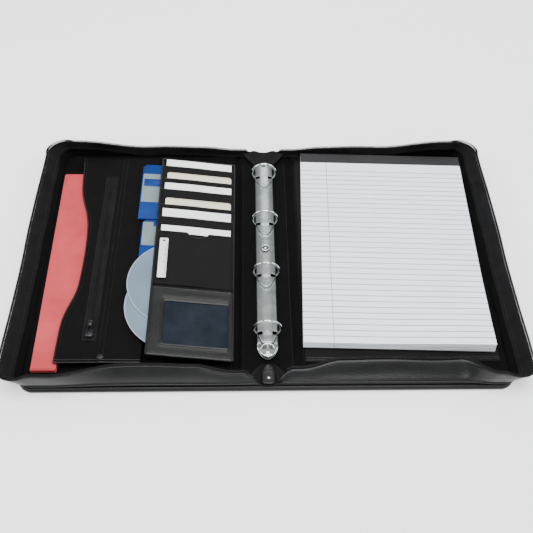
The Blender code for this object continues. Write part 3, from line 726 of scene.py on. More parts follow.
def lining(side, prefix):
    """Woven lining of one tray and half of the spine, with the sewn fold."""
    xs = spaced(0.0, 24.0, 6) + spaced(25.0, 42.0, 34) + spaced(45.0, WALL_X - 1.0, 72)

    verts, faces = sheet(xs, spaced(-WALL_Y + 1.0, WALL_Y - 1.0, 116), lining_height, 1.0,
                         tray_edge(side, WALL_X - 1.0, WALL_Y - 1.0, WALL_R))
    nodes = [prefix + "_cover_lining", prefix + "_cover_board"]
    if side > 0:
        nodes.append("spine_lining")
    obj = piece(prefix + "_woven_lining", verts, faces, M["lining"], None, "lining", nodes=nodes)
    fold_blend(obj)
    seams = []
    for x in (27.0, 39.5):
        line = [(side * x, y, lining_height(x, y) + 0.1) for y in spaced(-160, 160, 40)]
        seams.append(stitches(line, 3.4, 2.3, 0.28))
    fold = piece(prefix + "_fold_stitching", *join(seams), M["thread"], None, "zip_textile")
    fold_blend(fold)


# ---------------------------------------------------------------- spine ends
def spine_end(name, end, node):
    """Pleated gusset that folds down over one end of the spine, in soft triangular facets."""
    xs = spaced(-1.0, 1.0, 60)
    top = []
    for share in spaced(0.0, 1.0, 26):
        for x in xs:
            pleat = 3.2 * max(0.0, 1.0 - abs(abs(x) - 0.42) / 0.3) * share
            z = LINING_Z + 1.4 + 2.8 * math.sin(math.pi * min(share, 0.93) * 0.78) + pleat
            z -= 6.5 * smoothstep(0.86, 1.0, share) * (1.0 if end < 0 else 0.2)
            if end > 0:
                z += 4.5 * smoothstep(0.55, 0.95, share)
            top.append((x * (7.0 + 23.0 * share), end * (148.0 + 27.0 * share), z))
    mesh = closed_skin(top, [(x, y, z - 1.2) for x, y, z in top], len(xs))
    piece(name, *mesh, M["inner_leather"], "spine", "leatherette", nodes=[node])


def zip_end():
    """Slider at the front of the spine, and the leather pull with its rivet."""
    low, high = box("zip_slider")
    cx = (low[0] + high[0]) / 2
    outline = rounded(low[0], high[0], low[1], high[1], 2.6, 6)
    lower = slab(outline, low[2], low[2] + 1.1, 0.3)
    upper = slab([(x * 0.9, y) for x, y in outline], high[2] - 1.3, high[2], 0.4)
    post = rounded(cx - 1.8, cx + 1.8, low[1] + 3.0, high[1] - 3.0, 1.2)
    post = slab(post, low[2] + 1.0, high[2] - 1.0, 0.2)
    piece("main_slider", *join([lower, upper, post]), M["dark_metal"], "spine", "chrome",
          nodes=["zip_slider"])
    low, high = box("zip_pull")
    length = high[1] - low[1]
    sections = []
    for share in spaced(0.0, 1.0, 24):
        y = high[1] - length * share
        z = (low[2] + high[2]) / 2 - 0.6 * math.sin(math.pi * share)
        width = (high[0] - low[0]) / 2 * (0.72 + 0.28 * smoothstep(0.0, 0.35, share))
        width *= 1.0 if share < 0.9 else math.sqrt(max(0.05, 1 - ((share - 0.9) / 0.1) ** 2) * 0.6 + 0.4)
        section = []
        for k in range(16):
            turn = 2 * math.pi * k / 16
            flat = math.copysign(abs(math.cos(turn)) ** 0.35, math.cos(turn))
            section.append((width * flat, y, z + 0.95 * math.sin(turn)))
        sections.append(section)
    piece("pull_tab", *sweep(sections), M["leather"], "main_zip_pull", "leatherette", nodes=["zip_pull"])
    rivet = []
    for turn in spaced(0.0, math.pi / 2, 7):
        z = high[2] - 0.3 + 0.9 * math.sin(turn)
        rivet.append(circle(0.4, low[1] + 6.0, 1.7 * math.cos(turn), 16, z))
    piece("pull_rivet", *sweep(rivet), M["chrome"], "main_zip_pull", "chrome")
    border = rounded(low[0], high[0], low[1] + 1.0, high[1] - 3.0, 3.0, 5)
    line = [(x * 0.78, y, high[2] - 0.15) for x, y in border + border[:1]]
    piece("pull_stitching", *stitches(line, 2.6, 1.7, 0.25), M["thread"], "main_zip_pull", "zip_textile")


# ---------------------------------------------------------------- ring mechanism
def plate_top(x):
    """Dome of the ring plate across its width."""
    half = PLATE_HALF_W
    shoulder = PLATE_LOW[2] + 3.6
    share = min(1.0, abs(x) / half)
    return shoulder + (PLATE_HIGH[2] - shoulder) * (1 - share ** 2.4) ** 0.6


def ring_plate():
    """Domed nickel plate: pointed front, forked back, slots at the rings and pressed curves."""
    half = PLATE_HALF_W
    xs = spaced(-half, half, 50)
    ys = spaced(0.0, 1.0, 360)
    verts = []
    for v in ys:
        for x in xs:
            share = abs(x) / half
            front = PLATE_LOW[1] - 18.0 * math.sqrt(max(0.0, 1 - share ** 1.7))
            back = PLATE_HIGH[1] + 6.0 * math.exp(-((abs(x) - 6.6) / 3.0) ** 2)
            y = front + (back - front) * v
            z = plate_top(x)
            for ring_y in RING_YS:
                curve = ring_y - 19.0 + 16.0 * (abs(x) / 10.5) ** 2.2
                if abs(x) < 10.5 and ring_y - 30 < y < ring_y:
                    z -= 1.6 * math.exp(-((y - curve) / 1.25) ** 2)
                    z += 0.5 * smoothstep(-1.5, 3.0, y - curve) * smoothstep(2.0, -5.0, y - ring_y)
            tip = smoothstep(PLATE_LOW[1] + 1.0, PLATE_LOW[1] - 6.0, y) if y < PLATE_LOW[1] + 1 else 0.0
            z = z * (1 - tip) + (LINING_Z + 2.0) * tip
            verts.append((x, y, z))
    columns = len(xs)
    faces = []
    for face in grid_faces(len(ys), columns):
        x = sum(verts[i][0] for i in face) / 4
        y = sum(verts[i][1] for i in face) / 4
        slot = any(abs(y - ring_y) < 2.3 for ring_y in RING_YS) and 5.6 < abs(x) < 12.0
        if not slot:
            faces.append(face)
    plate = piece("ring_plate_shell", verts, faces, M["nickel"], "spine", "nickel", nodes=["ring_plate"])
    solid = plate.modifiers.new("thickness", "SOLIDIFY")
    solid.thickness = 0.9 * MM
    solid.offset = -1.0
    skirt = []
    front, back = PLATE_LOW[1], PLATE_HIGH[1]
    for inner, outer in ((0.9 - half, -half), (half - 0.9, half)):
        outline = [(inner, front), (outer, front), (outer, back), (inner, back)]
        skirt.append(slab(outline, PLATE_LOW[2], plate_top(half) - 0.1, 0.2))
    piece("ring_plate_skirt", *join(skirt), M["nickel"], "spine", "nickel")
    dots = [dome((0.0, ring_y + 1.0, plate_top(0.0) - 0.2), 1.5, 1.1) for ring_y in RING_YS]
    piece("plate_dimples", *join(dots), M["chrome"], "spine", "chrome")
    low, high = box("centre_rivet")
    cx, cy = middle("centre_rivet")[:2]
    washer = tube(circle(cx, cy, 4.3, 32, high[2] + 0.1), 0.85, 12, True, 0.8)
    button = dome((cx, cy, high[2] - 0.4), 1.8, 1.2)
    piece("eyelet", *join([washer, button]), M["chrome"], "spine", "chrome", nodes=["centre_rivet"])
    # Painted shade: a black disc for the dark inside of the eyelet's hole, and a wider black ring under the
    # washer as its painted shadow.
    hole_shade = slab(circle(cx, cy, 3.9, 32), low[2] - 0.2, high[2] - 0.1, 0.1)
    shade = slab(circle(cx, cy, 5.5, 32), low[2] - 0.6, low[2], 0.1)
    piece("eyelet_painted_shade", *join([hole_shade, shade]), M["ink"], "spine", "chrome")


def dome(centre, radius, height, steps=7, sides=18):
    """A small half-round button."""
    levels = []
    for i in range(steps):
        turn = math.pi / 2 * i / (steps - 0.6)
        z = centre[2] + height * math.sin(turn)
        levels.append(circle(centre[0], centre[1], radius * math.cos(turn), sides, z))
    return sweep(levels)


def ring_arc(side, y, start, end, steps):
    """Centre line of a half ring between two angles in degrees."""
    angles = [math.radians(angle) for angle in spaced(start, end, steps)]
    return [(side * RING_R * math.cos(a), y, RING_Z + RING_R * math.sin(a)) for a in angles]


def rings():
    """Eight polished half rings, each with a slightly thicker cuff near the top."""
    for side, prefix, body in ((-1, "left", "left_rings"), (1, "right", "right_rings")):
        for number, ring_y in enumerate(RING_YS, start=1):
            wire = tube(ring_arc(side, ring_y, -50.0, 89.2, 44), WIRE_R, 20)
            cuff = tube(ring_arc(side, ring_y, 78.0, 86.0, 5), WIRE_R + 0.18, 20)
            piece("%s_ring_%d" % (prefix, number), *join([wire, cuff]), M["chrome"], body, "chrome",
                  nodes=["ring_%s_%d" % (prefix, number)])


def lever():
    """Round thumb lever with a raised rim, two pressed windows and a curled lip; the windows are black slabs
    as painted shade.
    """
    low, high = box("ring_lever")
    cx = (low[0] + high[0]) / 2
    radius = (high[0] - low[0]) / 2
    cy = low[1] + radius
    z = high[2]
    rim_mesh = tube(circle(cx, cy, radius - 1.0, 48, z - 0.6), 1.1, 12, True)
    levels = ((radius - 1.2, -1.4), (radius - 1.2, -0.9), (radius * 0.62, -1.1), (radius * 0.3, -0.6),
              (0.4, -0.5))
    plate = sweep([circle(cx, cy, r, 48, z + dz) for r, dz in levels])
    curl = [(cx + x, cy - radius + 2.6 - 0.05 * x * x, z + 0.3) for x in spaced(-4.5, 4.5, 14)]
    lip = tube(curl, 1.5, 12, False, 0.7)
    arm = slab([(cx - 3.0, cy + radius - 2.0), (cx + 3.0, cy + radius - 2.0), (cx + 2.4, high[1]),
                (cx - 2.4, high[1])], low[2], z - 0.3, 0.2)
    piece("thumb_lever", *join([rim_mesh, plate, lip, arm]), M["chrome"], "lever", "chrome",
          nodes=["ring_lever"])
    # Painted shade: black slabs inside the two pressed windows stand for their dark insides.
    marks = []
    for side in (-1, 1):
        turns = [(6.6, turn) for turn in spaced(20.0, 80.0, 8)]
        turns += [(2.6, turn) for turn in spaced(72.0, 28.0, 6)]
        outline = []
        for r, turn in turns:
            a = math.radians(turn)
            outline.append((cx + side * r * math.cos(a), cy + r * math.sin(a)))
        marks.append(slab(outline, z - 1.1, z - 0.35, 0.1))
    piece("lever_window_painted_shade", *join(marks), M["ink"], "lever", "chrome")


# ---------------------------------------------------------------- right tray
def writing_pad():
    """Slip pocket, then a head-bound ruled pad whose leaves lift a little at the free corner."""
    def cloth_top(x, y):
        edge = min(x - SLIP_LOW[0], SLIP_HIGH[0] - x, y - SLIP_LOW[1], SLIP_HIGH[1] - y)
        wave = 0.25 * math.sin(x / 14.0) * math.sin(y / 19.0)
        return SLIP_HIGH[2] - 0.5 + 0.5 * smoothstep(0.0, 4.0, edge) + wave * smoothstep(0.0, 8.0, edge)

    verts, faces = sheet(spaced(SLIP_LOW[0], SLIP_HIGH[0], 70), spaced(SLIP_LOW[1], SLIP_HIGH[1], 90),
                         cloth_top, 0.8)
    pocket = piece("slip_pocket_cloth", verts, faces, M["inner_leather"], "right_cover", "lining",
                   nodes=["slip_pocket"])
    hem = []
    for y in (SLIP_LOW[1] + 2.0, SLIP_LOW[1] + 4.6):
        xs = spaced(SLIP_LOW[0] + 1, SLIP_HIGH[0] - 1, 40)
        hem.append(tube([(x, y, SLIP_HIGH[2] + 0.1) for x in xs], 0.7, 8))
    piece("slip_pocket_hem", *join(hem), M["gloss_leather"], "right_cover", "leatherette")
    low_z, high_z = [corner[2] for corner in box("pad_board")]
    outline = rounded(-PAD_HALF_W, PAD_HALF_W, -PAD_HALF_L - 0.5, PAD_HALF_L, 1.5, 4)
    piece("pad_backing", *turned(slab(outline, low_z, high_z, 0.3)), M["board"], "writing_pad", "greyboard",
          nodes=["pad_board"])

    def leaf_top(x, y):
        u = (x + PAD_HALF_W) / (2 * PAD_HALF_W)
        v = (PAD_HALF_L - y) / (2 * PAD_HALF_L)
        lift = 4.2 * smoothstep(0.62, 1.0, v) * smoothstep(0.35, 1.0, u) + 0.8 * smoothstep(0.9, 1.0, v)
        step = 0.9 if y > PAD_HALF_L - 16.0 else 0.0
        return SHEETS_TOP + lift + 0.3 * math.sin(3.0 * u) * v - step

    xs = spaced(-PAD_HALF_W, PAD_HALF_W, 50)
    ys = spaced(-PAD_HALF_L, PAD_HALF_L, 74)
    base = SHEETS_BASE - 0.2
    levels = 5
    blocks = []
    for level in range(levels):
        bottom_share, top_share = level / levels, (level + 0.93) / levels
        slip = 0.5 * (levels - 1 - level)

        def block_top(x, y, share=top_share):
            return base + (leaf_top(x, y) - base) * share

        def block_edge(x, y, slip=slip, level=level):
            front = smoothstep(-PAD_HALF_L + 30.0, -PAD_HALF_L, y)
            return x + 0.25 * math.sin(2.1 * level) * front, y - slip * front

        verts, faces = sheet(xs, ys, block_top, 0.5, block_edge)
        top = verts[:len(verts) // 2]
        bottom = [(x, y, base + (leaf_top(x, y) - base) * bottom_share) for x, y, z in top]
        blocks.append((top + bottom, faces))
    piece("pad_leaves", *turned(join(blocks)), M["ruled"], "writing_pad", "paper", nodes=["pad_sheets"])
    low, high = box("pad_binding")
    strip_y, top = PAD_HALF_L - 16.5, high[2]
    profile = []
    for share in spaced(0.0, 1.0, 12):
        profile.append((strip_y + 16.5 * share, top + 0.25 - 0.5 * smoothstep(0.85, 1.0, share)))
    profile += [(PAD_HALF_L + 0.2, top - 1.2), (PAD_HALF_L + 0.2, low[2]), (PAD_HALF_L - 0.5, low[2]),
                (PAD_HALF_L - 0.5, top - 0.8), (strip_y, top - 0.25)]
    sections = [[(x, y, z) for y, z in profile] for x in spaced(-PAD_HALF_W - 0.2, PAD_HALF_W + 0.2, 30)]
    piece("pad_head_strip", *turned(sweep(sections)), M["binding"], "writing_pad", "binding",
          nodes=["pad_binding"])


def turned(mesh):
    """Move (verts, faces) from the pad's own frame to its slightly turned place on the tray."""
    verts, faces = mesh
    c, s = math.cos(PAD_TURN), math.sin(PAD_TURN)
    return [(PAD_CENTRE[0] + x * c - y * s, PAD_CENTRE[1] + x * s + y * c, z) for x, y, z in verts], faces


# ---------------------------------------------------------------- left tray
def documents():
    """A stack of pink papers, each leaf a little askew."""
    low, high = [corner[2] for corner in box("document_stack")]
    corners = ((-252.5, -156.0), (-226.0, -156.0), (-226.0, -141.0), (-204.0, -141.0), (-204.0, 134.0),
               (-257.0, 134.0))
    count = 9
    thick = (high - low) / count
    parts = []
    for i in range(count):
        z = low + i * thick
        dx, dy = rng.uniform(-0.8, 0.8), rng.uniform(-1.0, 1.0)
        parts.append(slab([(x + dx, y + dy) for x, y in corners], z, z + thick - 0.12, 0.1))
    piece("loose_documents", *join(parts), M["pink"], "left_cover", "pink_paper", smooth=False,
          nodes=["document_stack"])


EDGE_POINTS = [(162.0, -234.5), (134.8, -232.6), (108.0, -231.0), (93.9, -228.9), (58.5, -217.8),
               (37.0, -215.0), (-2.0, -213.6), (-47.0, -215.0), (-60.0, -217.0), (-81.5, -225.0),
               (-99.5, -228.0), (-149.0, -229.0)]


def pocket_edge(y):
    """Wavy free edge of the document pocket: straight runs between its turning points."""
    for (y1, x1), (y0, x0) in zip(EDGE_POINTS, EDGE_POINTS[1:]):
        if y >= y0:
            share = min(1.0, (y1 - y) / (y1 - y0))
            return x1 + (x0 - x1) * share
    return EDGE_POINTS[-1][1]


def pocket_height(x, y):
    """The pocket bulges over its papers and drops where they end."""
    inner = smoothstep(-137.0, -170.0, x)
    lip = 0.9 * math.exp(-((x - soft_edge(y)) / 3.0) ** 2)
    seam = 0.9 * math.exp(-((x + 180.0) / 1.6) ** 2)
    wave = 0.5 * math.sin(y / 23.0 + x / 40.0)
    wave += 0.25 * math.sin(y / 9.0) * math.exp(-((x + 228.0) / 12.0) ** 2)
    return POCKET_HIGH[2] - 0.4 + 0.5 * inner + lip + seam + 0.5 * wave * inner


def soft_edge(y):
    """The free edge with its corners averaged out."""
    reach = (-12, -8, -4, 0, 4, 8, 12)
    return sum(pocket_edge(min(max(y + d, POCKET_LOW[1]), POCKET_HIGH[1])) for d in reach) / len(reach)


def document_pocket():
    """Cloth pocket with a wavy free edge, bound hem, vertical zip and snap."""
    y0, y1 = POCKET_LOW[1], POCKET_HIGH[1]
    shares = spaced(0.0, 1.0, 60)
    ys = spaced(y0, y1, 110)
    top = []
    for y in ys:
        left = soft_edge(y)
        for share in shares:
            x = left + (POCKET_HIGH[0] - left) * share
            top.append((x, y, pocket_height(x, y)))
    mesh = closed_skin(top, [(x, y, z - 0.8) for x, y, z in top], len(shares))
    cloth = piece("document_pocket_cloth", *mesh, M["pocket_cloth"], "left_cover", "lining",
                  nodes=["document_pocket"])
    hem = [tube([(soft_edge(y), y, pocket_height(soft_edge(y), y) - 0.2) for y in ys], 1.0, 10)]
    for inset, radius in ((0.0, 1.1), (3.2, 0.8)):
        y = y0 + inset
        line = [(x, y, pocket_height(x, y) + 0.2) for x in spaced(soft_edge(y0), POCKET_HIGH[0], 50)]
        hem.append(tube(line, radius, 10))
    piece("document_pocket_binding", *join(hem), M["gloss_leather"], "left_cover", "leatherette")
    lines = [[(soft_edge(y) + 3.0, y) for y in ys], [(-182.5, y) for y in ys], [(-177.5, y) for y in ys]]
    rows_of = []
    for line in lines:
        rows_of.append(stitches([(x, y, pocket_height(x, y) + 0.1) for x, y in line], 3.4, 2.2, 0.26))
    piece("document_pocket_stitching", *join(rows_of), M["thread"], "left_cover", "zip_textile")
    pocket_zip()


def pocket_zip():
    """The pocket's own zip: two tapes, a coil down the middle, slider, hinged pull and snap."""
    low, high = box("pocket_zip_tape")
    cx = middle("pocket_zip_tape")[0]
    ys = spaced(low[1], high[1], 100)
    parts = []
    for side in (-1, 1):
        xs = [cx + side * v for v in spaced(1.5, 8.0, 6)]
        if side < 0:
            xs.reverse()
        parts.append(sheet(xs, ys, lambda x, y: pocket_height(x, y) + 0.75 - 0.06 * abs(x - cx), 0.5))
    piece("pocket_zip_cloth", *join(parts), M["tape"], "left_cover", "zip_textile",
          nodes=["pocket_zip_tape"])
    teeth = zip_teeth([(cx, y, pocket_height(cx, y) + 0.7) for y in ys])
    piece("pocket_zip_teeth", *teeth, M["teeth"], "left_cover", "zip_textile")
    rows = []
    for x in (cx - 6.6, cx + 6.6):
        rows.append(stitches([(x, y, pocket_height(x, y) + 0.55) for y in ys], 3.0, 2.0, 0.22))
    piece("pocket_zip_stitching", *join(rows), M["thread"], "left_cover", "zip_textile")
    low, high = box("pocket_zip_slider")
    outline = rounded(low[0], high[0], low[1], high[1], 2.4, 5)
    piece("pocket_slider_body", *slab(outline, low[2], high[2], 0.5), M["dark_metal"], "pocket_slider",
          "chrome", nodes=["pocket_zip_slider"])
    low, high = box("pocket_zip_pull")
    z = (low[2] + high[2]) / 2
    left, right, hinge_y = low[0] + 0.8, high[0] - 0.8, high[1] - 7.0
    frame_line = rounded(low[0] + 0.6, high[0] - 0.6, low[1] + 0.6, high[1] - 0.6, (right - left) / 2, 6)
    loop = tube([(x, y, z) for x, y in frame_line], 0.6, 8, True)
    bar = tube([(left, hinge_y, z), (right, hinge_y, z)], 0.5, 8)
    grip = slab(rounded(left, right, hinge_y, high[1] - 1.0, 1.0), z - 0.4, z + 0.4, 0.15)
    piece("pocket_pull_tag", *join([loop, bar, grip]), M["dark_metal"], "pocket_pull", "chrome",
          nodes=["pocket_zip_pull"])
    cx, cy = middle("pocket_snap")[:2]
    button = dome((cx, cy, box("pocket_snap")[0][2] - 0.3), 4.0, 2.0, 9, 28)
    piece("pocket_snap_button", *button, M["leather"], "left_cover", "leatherette", nodes=["pocket_snap"])


# ---------------------------------------------------------------- organiser, in its sloping frame
def slope(x, y, w):
    """From the organiser's own frame to the case frame."""
    return (ORGANISER_X + x * math.cos(SLOPE) + w * math.sin(SLOPE), y,
            ORGANISER_Z - x * math.sin(SLOPE) + w * math.cos(SLOPE))


def skewed(mesh):
    """Like sloped, with the organiser's rows dropping towards the spine."""
    verts, faces = mesh
    return [slope(x, y - ORGANISER_SKEW * (x + ORGANISER_W), w) for x, y, w in verts], faces


def sloped(mesh):
    """Move (verts, faces) from the organiser's frame to the case frame."""
    verts, faces = mesh
    return [slope(*v) for v in verts], faces


def disks_and_discs():
    """Two square data disks with label and shutter, and two optical discs in their pockets."""
    for name, left, front in (("disk_1", -118.0, 52.0), ("disk_2", -112.0, -43.0)):
        right, back = left + DISK_SIZE[0], front + DISK_SIZE[1]
        low, high = 0.3, 3.6
        outline = [(left, front), (right, front), (right, back), (left + 4.5, back), (left, back - 4.5)]
        piece(name + "_shell", *sloped(slab(outline, low, high, 0.5)), M["blue"], name, "blue_plastic",
              nodes=[name])
        first = name == "disk_1"
        y0, y1 = (front + 28.0, front + 77.0) if first else (front + 53.0, front + 90.0)
        label = rounded(left + 1.4, left + 30.0, y0, y1, 1.5, 4)
        patch = (y1 - 22.0, y1 - 9.0) if first else (y1 - 7.0, y1 + 1.0)
        tab = rounded(left + (3.0 if first else 14.0), left + 29.0, *patch, 1.0, 3)
        piece(name + "_label", *sloped(slab(label, high, high + 0.12, 0.03)), M["disk_label"], name,
              "blue_plastic")
        piece(name + "_print", *sloped(slab(tab, high + 0.12, high + 0.2, 0.02)), M["blue"], name,
              "blue_plastic")
        shutter = rounded(left + 30.0, left + 62.0, front + 0.5, front + 31.0, 1.0, 3)
        piece(name + "_shutter", *sloped(slab(shutter, high, high + 0.35, 0.1)), M["dark_metal"], name,
              "blue_plastic")
    for name, cy, low in (("disc_1", -45.5, 5.4), ("disc_2", -76.5, 3.9)):
        profile = [(7.6, low), (7.6, low + 1.2), (17.0, low + 1.2), (17.4, low + 1.38), (18.2, low + 1.38),
                   (18.6, low + 1.2), (DISC_R - 0.3, low + 1.2), (DISC_R, low + 0.9), (DISC_R, low + 0.3),
                   (DISC_R - 0.3, low)]
        spokes = zip(*[circle(DISC_X, cy, r, 96, w) for r, w in profile])
        verts, faces = sloped(sweep([list(spoke) for spoke in spokes], True))
        look = disc_material(name + "_mirror", slope(DISC_X, cy, low + 1.2))
        piece(name + "_plate", verts, faces, look, name, "disc_silver", nodes=[name])


ROWS = [("label_1", 139.0, 151.0), ("card_1", 117.0, 128.0), ("label_2", 98.0, 109.5), ("card_2", 72.0, 83.5),
        ("label_3", 52.0, 65.5), ("label_4", 29.0, 38.5)]


def organiser():
    """Sewn organiser: base panel, six stepped card slots, clear window, ruler."""
    width = ORGANISER_W
    y0, y1 = ORGANISER_Y

    def base_height(x, y):
        edge = min(-x, width + x, y - y0, y1 - y)
        return 7.4 + 0.6 * smoothstep(0.0, 3.0, edge) + 0.12 * math.sin(y / 8.0)

    mesh = skewed(sheet(spaced(-width, 0.0, 40), spaced(y0, y1, 100), base_height, 1.0))
    base = piece("organiser_base", *mesh, M["inner_leather"], "left_cover", "lining",
                 nodes=["organiser_panel"])
    strips, hems, seams = [], [], []
    openings = [row[1] for row in ROWS]
    ends = openings[1:] + [-50.0]
    for number, (opening, end) in enumerate(zip(openings, ends)):
        last = number == len(openings) - 1
        length = opening - end

        def face_height(x, y, opening=opening, length=length, last=last):
            share = (opening - y) / length
            drop = 1.6 * share if not last else 0.9 * smoothstep(0.0, 1.0, share)
            bow = 0.25 * math.sin(math.pi * (x + width) / width)
            return 10.1 - drop + bow - near_spine(x)

        def notch_edge(x, y, opening=opening, last=last, length=length):
            if not last:
                return x, y
            share = 1.0 - (opening - y) / length
            dip = 7.0 * math.sqrt(max(0.0, 1 - ((x + 43.0) / 12.5) ** 2)) if abs(x + 43.0) < 12.5 else 0.0
            return x, y - dip * smoothstep(0.85, 1.0, share)

        xs = spaced(-width + 0.4, -0.4, 74)
        ys = spaced(end, opening, 8 if not last else 60)
        strips.append(sheet(xs, ys, face_height, 0.5, notch_edge))
        lip = [notch_edge(x, opening) for x in xs]
        hems.append(tube([(x, y, face_height(x, y) - 0.05) for x, y in lip], 0.4, 8))
        inner = [(x, y - 2.2, face_height(x, y - 2.2) + 0.15) for x, y in lip]
        seams.append(stitches(inner, 3.2, 2.1, 0.2))
    for x in (-width + 1.8, -1.8):
        seams.append(stitches([(x, y, 10.3) for y in spaced(-48.0, 150.0, 60)], 3.2, 2.1, 0.24))
    piece("card_slot_faces", *skewed(join(strips)), M["inner_leather"], "left_cover", "lining",
          nodes=["card_panel"])
    piece("card_slot_hems", *skewed(join(hems)), M["gloss_leather"], "left_cover", "leatherette")
    sides = [tube([(x, y, 9.6) for y in spaced(y0, y1, 80)], 1.2, 10) for x in (-width, 0.0)]
    sides.append(tube([(x, y1, 9.4) for x in spaced(-width, 0.0, 30)], 1.0, 10))
    piece("organiser_binding", *skewed(join(sides)), M["gloss_leather"], "left_cover", "leatherette")
    piece("card_slot_stitching", *skewed(join(seams)), M["thread"], "left_cover", "zip_textile")
    cards()
    id_window()
    ruler()


def near_spine(x):
    """How much the slots flatten towards the spine, so that they pass the rings when folded."""
    return 0.6 * smoothstep(-52.0, -28.0, x)


def tilt(mesh, opening, top):
    """Lean a flat insert so that it comes out over the slot behind it."""
    verts, faces = mesh
    out = []
    for x, y, w in verts:
        share = (y - opening) / (top - opening)
        bow = 0.25 * math.sin(math.pi * (x + ORGANISER_W) / ORGANISER_W)
        out.append((x, y, w + 8.95 + 0.85 * share + bow - near_spine(x)))
    return out, faces


def cards():
    """Inserts that stand out of the slots: four plain labels and two cards with a printed border."""
    for name, opening, top in ROWS:
        if name.startswith("label"):
            xs = spaced(-88.0, -4.0, 20)
            outline = [(x, opening - 1.5) for x in xs] + [(x, top) for x in reversed(xs)]
            mesh = tilt(slab(outline, 0.0, 0.35, 0.08), opening, top)
            piece("insert_" + name, *skewed(mesh), M["label"], "left_cover", "paper", nodes=[name])
            continue
        low_x, high_x = -46.0 - 42.8 + 3.0, -46.0 + 42.8 - 1.0
        outline = [(low_x, opening - 1.5), (high_x, opening - 1.5)]
        for cx, start in ((high_x - 3.2, 0), (low_x + 3.2, 90)):
            for k in range(7):
                a = math.radians(start + 15 * k)
                outline.append((cx + 3.2 * math.cos(a), top - 3.2 + 3.2 * math.sin(a)))
        mesh = tilt(slab(outline, 0.0, 0.5, 0.12), opening, top)
        piece("insert_" + name, *skewed(mesh), M["card"], "left_cover", "card", nodes=[name])
        line = []
        for x, y in outline[1:] + outline[:1]:
            if y > opening - 1.4:
                line.append((x + (1.3 if x < -46 else -1.3), min(y, top - 1.3), 0.5))
        border = tilt(tube(line, 0.22, 6), opening, top)
        piece("border_" + name, *skewed(border), M["card_rim"], "left_cover", "card")


def id_window():
    """Glossy stitched frame round a clear film window."""
    low_x, high_x, y0, y1 = -ORGANISER_W, 0.0, ORGANISER_Y[0], -54.0
    hx0, hx1, hy0, hy1 = -77.0, -6.0, -129.0, -73.0

    def loop(x0, x1, ya, yb, w, radius):
        return [(x, y, w) for x, y in rounded(x0, x1, ya, yb, radius, 6)]

    loops = [
        loop(low_x, high_x, y0, y1, 8.2, 2.0),
        loop(low_x, high_x, y0, y1, 9.6, 2.0),
        loop(low_x + 0.8, high_x - 0.8, y0 + 0.8, y1 - 0.8, 10.3, 2.0),
        loop(low_x + 2.2, high_x - 1.8, y0 + 2.0, y1 - 2.0, 10.5, 2.5),
        loop(hx0 - 1.2, hx1 + 1.2, hy0 - 1.2, hy1 + 1.2, 10.4, 3.0),
        loop(hx0, hx1, hy0, hy1, 9.8, 2.5),
        loop(hx0, hx1, hy0, hy1, 8.4, 2.5),
    ]
    piece("id_pocket_frame", *skewed(sweep(loops, True)), M["gloss_leather"], "left_cover", "leatherette",
          nodes=["id_frame"])

    def film(x, y):
        u = (x - hx0) / (hx1 - hx0)
        v = (y - hy0) / (hy1 - hy0)
        bulge = math.sin(math.pi * min(max(u, 0), 1)) * math.sin(math.pi * min(max(v, 0), 1))
        return 9.1 + 0.7 * bulge + 0.12 * math.sin(9.0 * u + 5.0 * v)

    pane = sheet(spaced(hx0 + 0.2, hx1 - 0.2, 40), spaced(hy0 + 0.2, hy1 - 0.2, 34), film, 0.4)
    piece("id_film", *skewed(pane), M["film"], "left_cover", "clear_film", nodes=["id_window"])
    inner = loop(hx0 - 2.6, hx1 + 2.6, hy0 - 2.6, hy1 + 2.6, 10.5, 3.5)
    outer = loop(low_x + 2.6, high_x - 2.0, y0 + 2.4, y1 - 2.4, 10.45, 3.0)
    rows = [stitches(line + line[:1], 3.0, 2.0, 0.24) for line in (inner, outer)]
    piece("id_pocket_stitching", *skewed(join(rows)), M["thread"], "left_cover", "zip_textile")


def ruler():
    """Small white ruler with a hole and tick marks."""
    low, high = -88.0, -78.0
    body = slab(rounded(low, high, -43.0, 16.0, 1.2, 4), 10.9, 11.7, 0.2)
    piece("ruler_blade", *sloped(body), M["white"], "ruler", "white_plastic", nodes=["small_ruler"])
    ticks = []
    for k in range(25):
        length = 5.2 if k % 5 == 0 else 3.0
        y = -40.0 + 2.0 * k
        tick = [(high - length, y), (high - 0.3, y), (high - 0.3, y + 0.4), (high - length, y + 0.4)]
        ticks.append(slab(tick, 11.7, 11.8, 0.01))
    hole = slab(circle(-83.0, 12.0, 1.6, 20), 11.7, 11.78, 0.02)
    piece("ruler_marks", *sloped(join(ticks + [hole])), M["ink"], "ruler", "white_plastic", smooth=False)


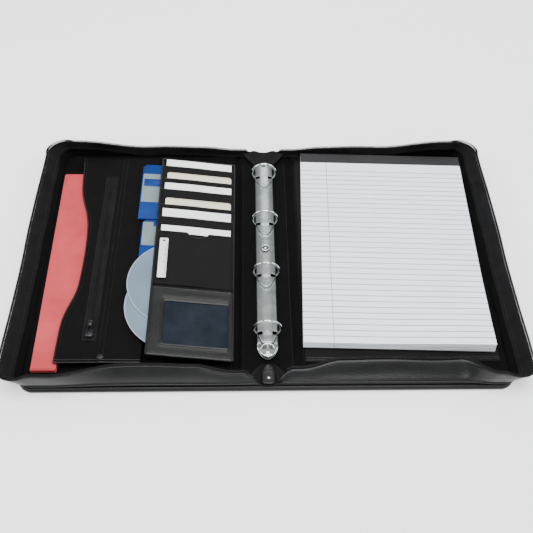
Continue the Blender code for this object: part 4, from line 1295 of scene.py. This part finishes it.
# ---------------------------------------------------------------- studio
def studio():
    """Pale floor, a white world and soft lights."""
    floor = bpy.data.meshes.new("floor")
    floor.from_pydata([(-6, -6, 0), (6, -6, 0), (6, 6, 0), (-6, 6, 0)], [], [(0, 1, 2, 3)])
    obj = bpy.data.objects.new("floor", floor)
    bpy.context.scene.collection.objects.link(obj)
    mat, tree, shader = shader_material("pale_floor", 0.85, Emission_Strength=0.42,
                                        Emission_Color=(1.0, 1.0, 1.0, 1.0))
    tree.links.new(ramp(tree, noise(tree, 3.0), [(0.3, (0.96, 0.96, 0.96)), (0.7, (0.98, 0.98, 0.98))]),
                   shader.inputs["Base Color"])
    floor.materials.append(mat)
    world = bpy.data.worlds.new("studio")
    bpy.context.scene.world = world
    world.use_nodes = True
    background = world.node_tree.nodes["Background"]
    background.inputs["Color"].default_value = (1.0, 1.0, 1.0, 1.0)
    background.inputs["Strength"].default_value = 0.62
    lights = (
        ("overhead", (0.0, -0.15, 2.0), 1.6, 54.0),
        ("left_soft", (-1.7, 0.1, 1.3), 1.1, 24.0),
        ("right_soft", (1.7, 0.3, 1.3), 1.1, 20.0),
        ("back_strip", (0.1, 1.6, 1.2), 0.5, 9.0),
        ("front_strip", (0.3, -1.9, 0.8), 0.4, 7.0),
    )
    for name, place, size, energy in lights:
        data = bpy.data.lights.new(name, "AREA")
        data.size = size
        data.energy = energy
        light = bpy.data.objects.new(name, data)
        light.location = place
        light.rotation_euler = (-Vector(place)).to_track_quat("-Z", "Y").to_euler()
        bpy.context.scene.collection.objects.link(light)


def camera():
    """Camera above the front edge, turned slightly to the right."""
    pitch, yaw, roll = math.radians(51.96), math.radians(2.46), math.radians(1.75)
    forward = Vector((math.sin(yaw) * math.cos(pitch), math.cos(yaw) * math.cos(pitch), -math.sin(pitch)))
    right = forward.cross(Vector((0, 0, 1))).normalized()
    up = right.cross(forward)
    turned_right = math.cos(roll) * right + math.sin(roll) * up
    turned_up = math.cos(roll) * up - math.sin(roll) * right
    data = bpy.data.cameras.new("camera")
    data.lens = 50.9
    data.sensor_width = 36.0
    cam = bpy.data.objects.new("camera", data)
    bpy.context.scene.collection.objects.link(cam)
    rotation = Matrix((turned_right, turned_up, -forward)).transposed()
    cam.matrix_world = Matrix.Translation(Vector((-22.7, -566.6, 713.7)) * MM) @ rotation.to_4x4()
    bpy.context.scene.camera = cam


make_materials()
camera()
studio()
for side, prefix in ((-1, "left"), (1, "right")):
    shell(side, prefix)
    lining(side, prefix)
spine_end("front_pleated_gusset", -1, "spine_gusset_front")
spine_end("back_pleated_gusset", 1, "spine_gusset_back")
zip_end()
ring_plate()
rings()
lever()
writing_pad()
documents()
document_pocket()
disks_and_discs()
organiser()
for node, key in (("leaf_left", "dark_metal"), ("leaf_right", "dark_metal"), ("left_cover_board", "board")):
    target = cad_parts[node]
    target.data.materials.clear()
    target.data.materials.append(M[key])
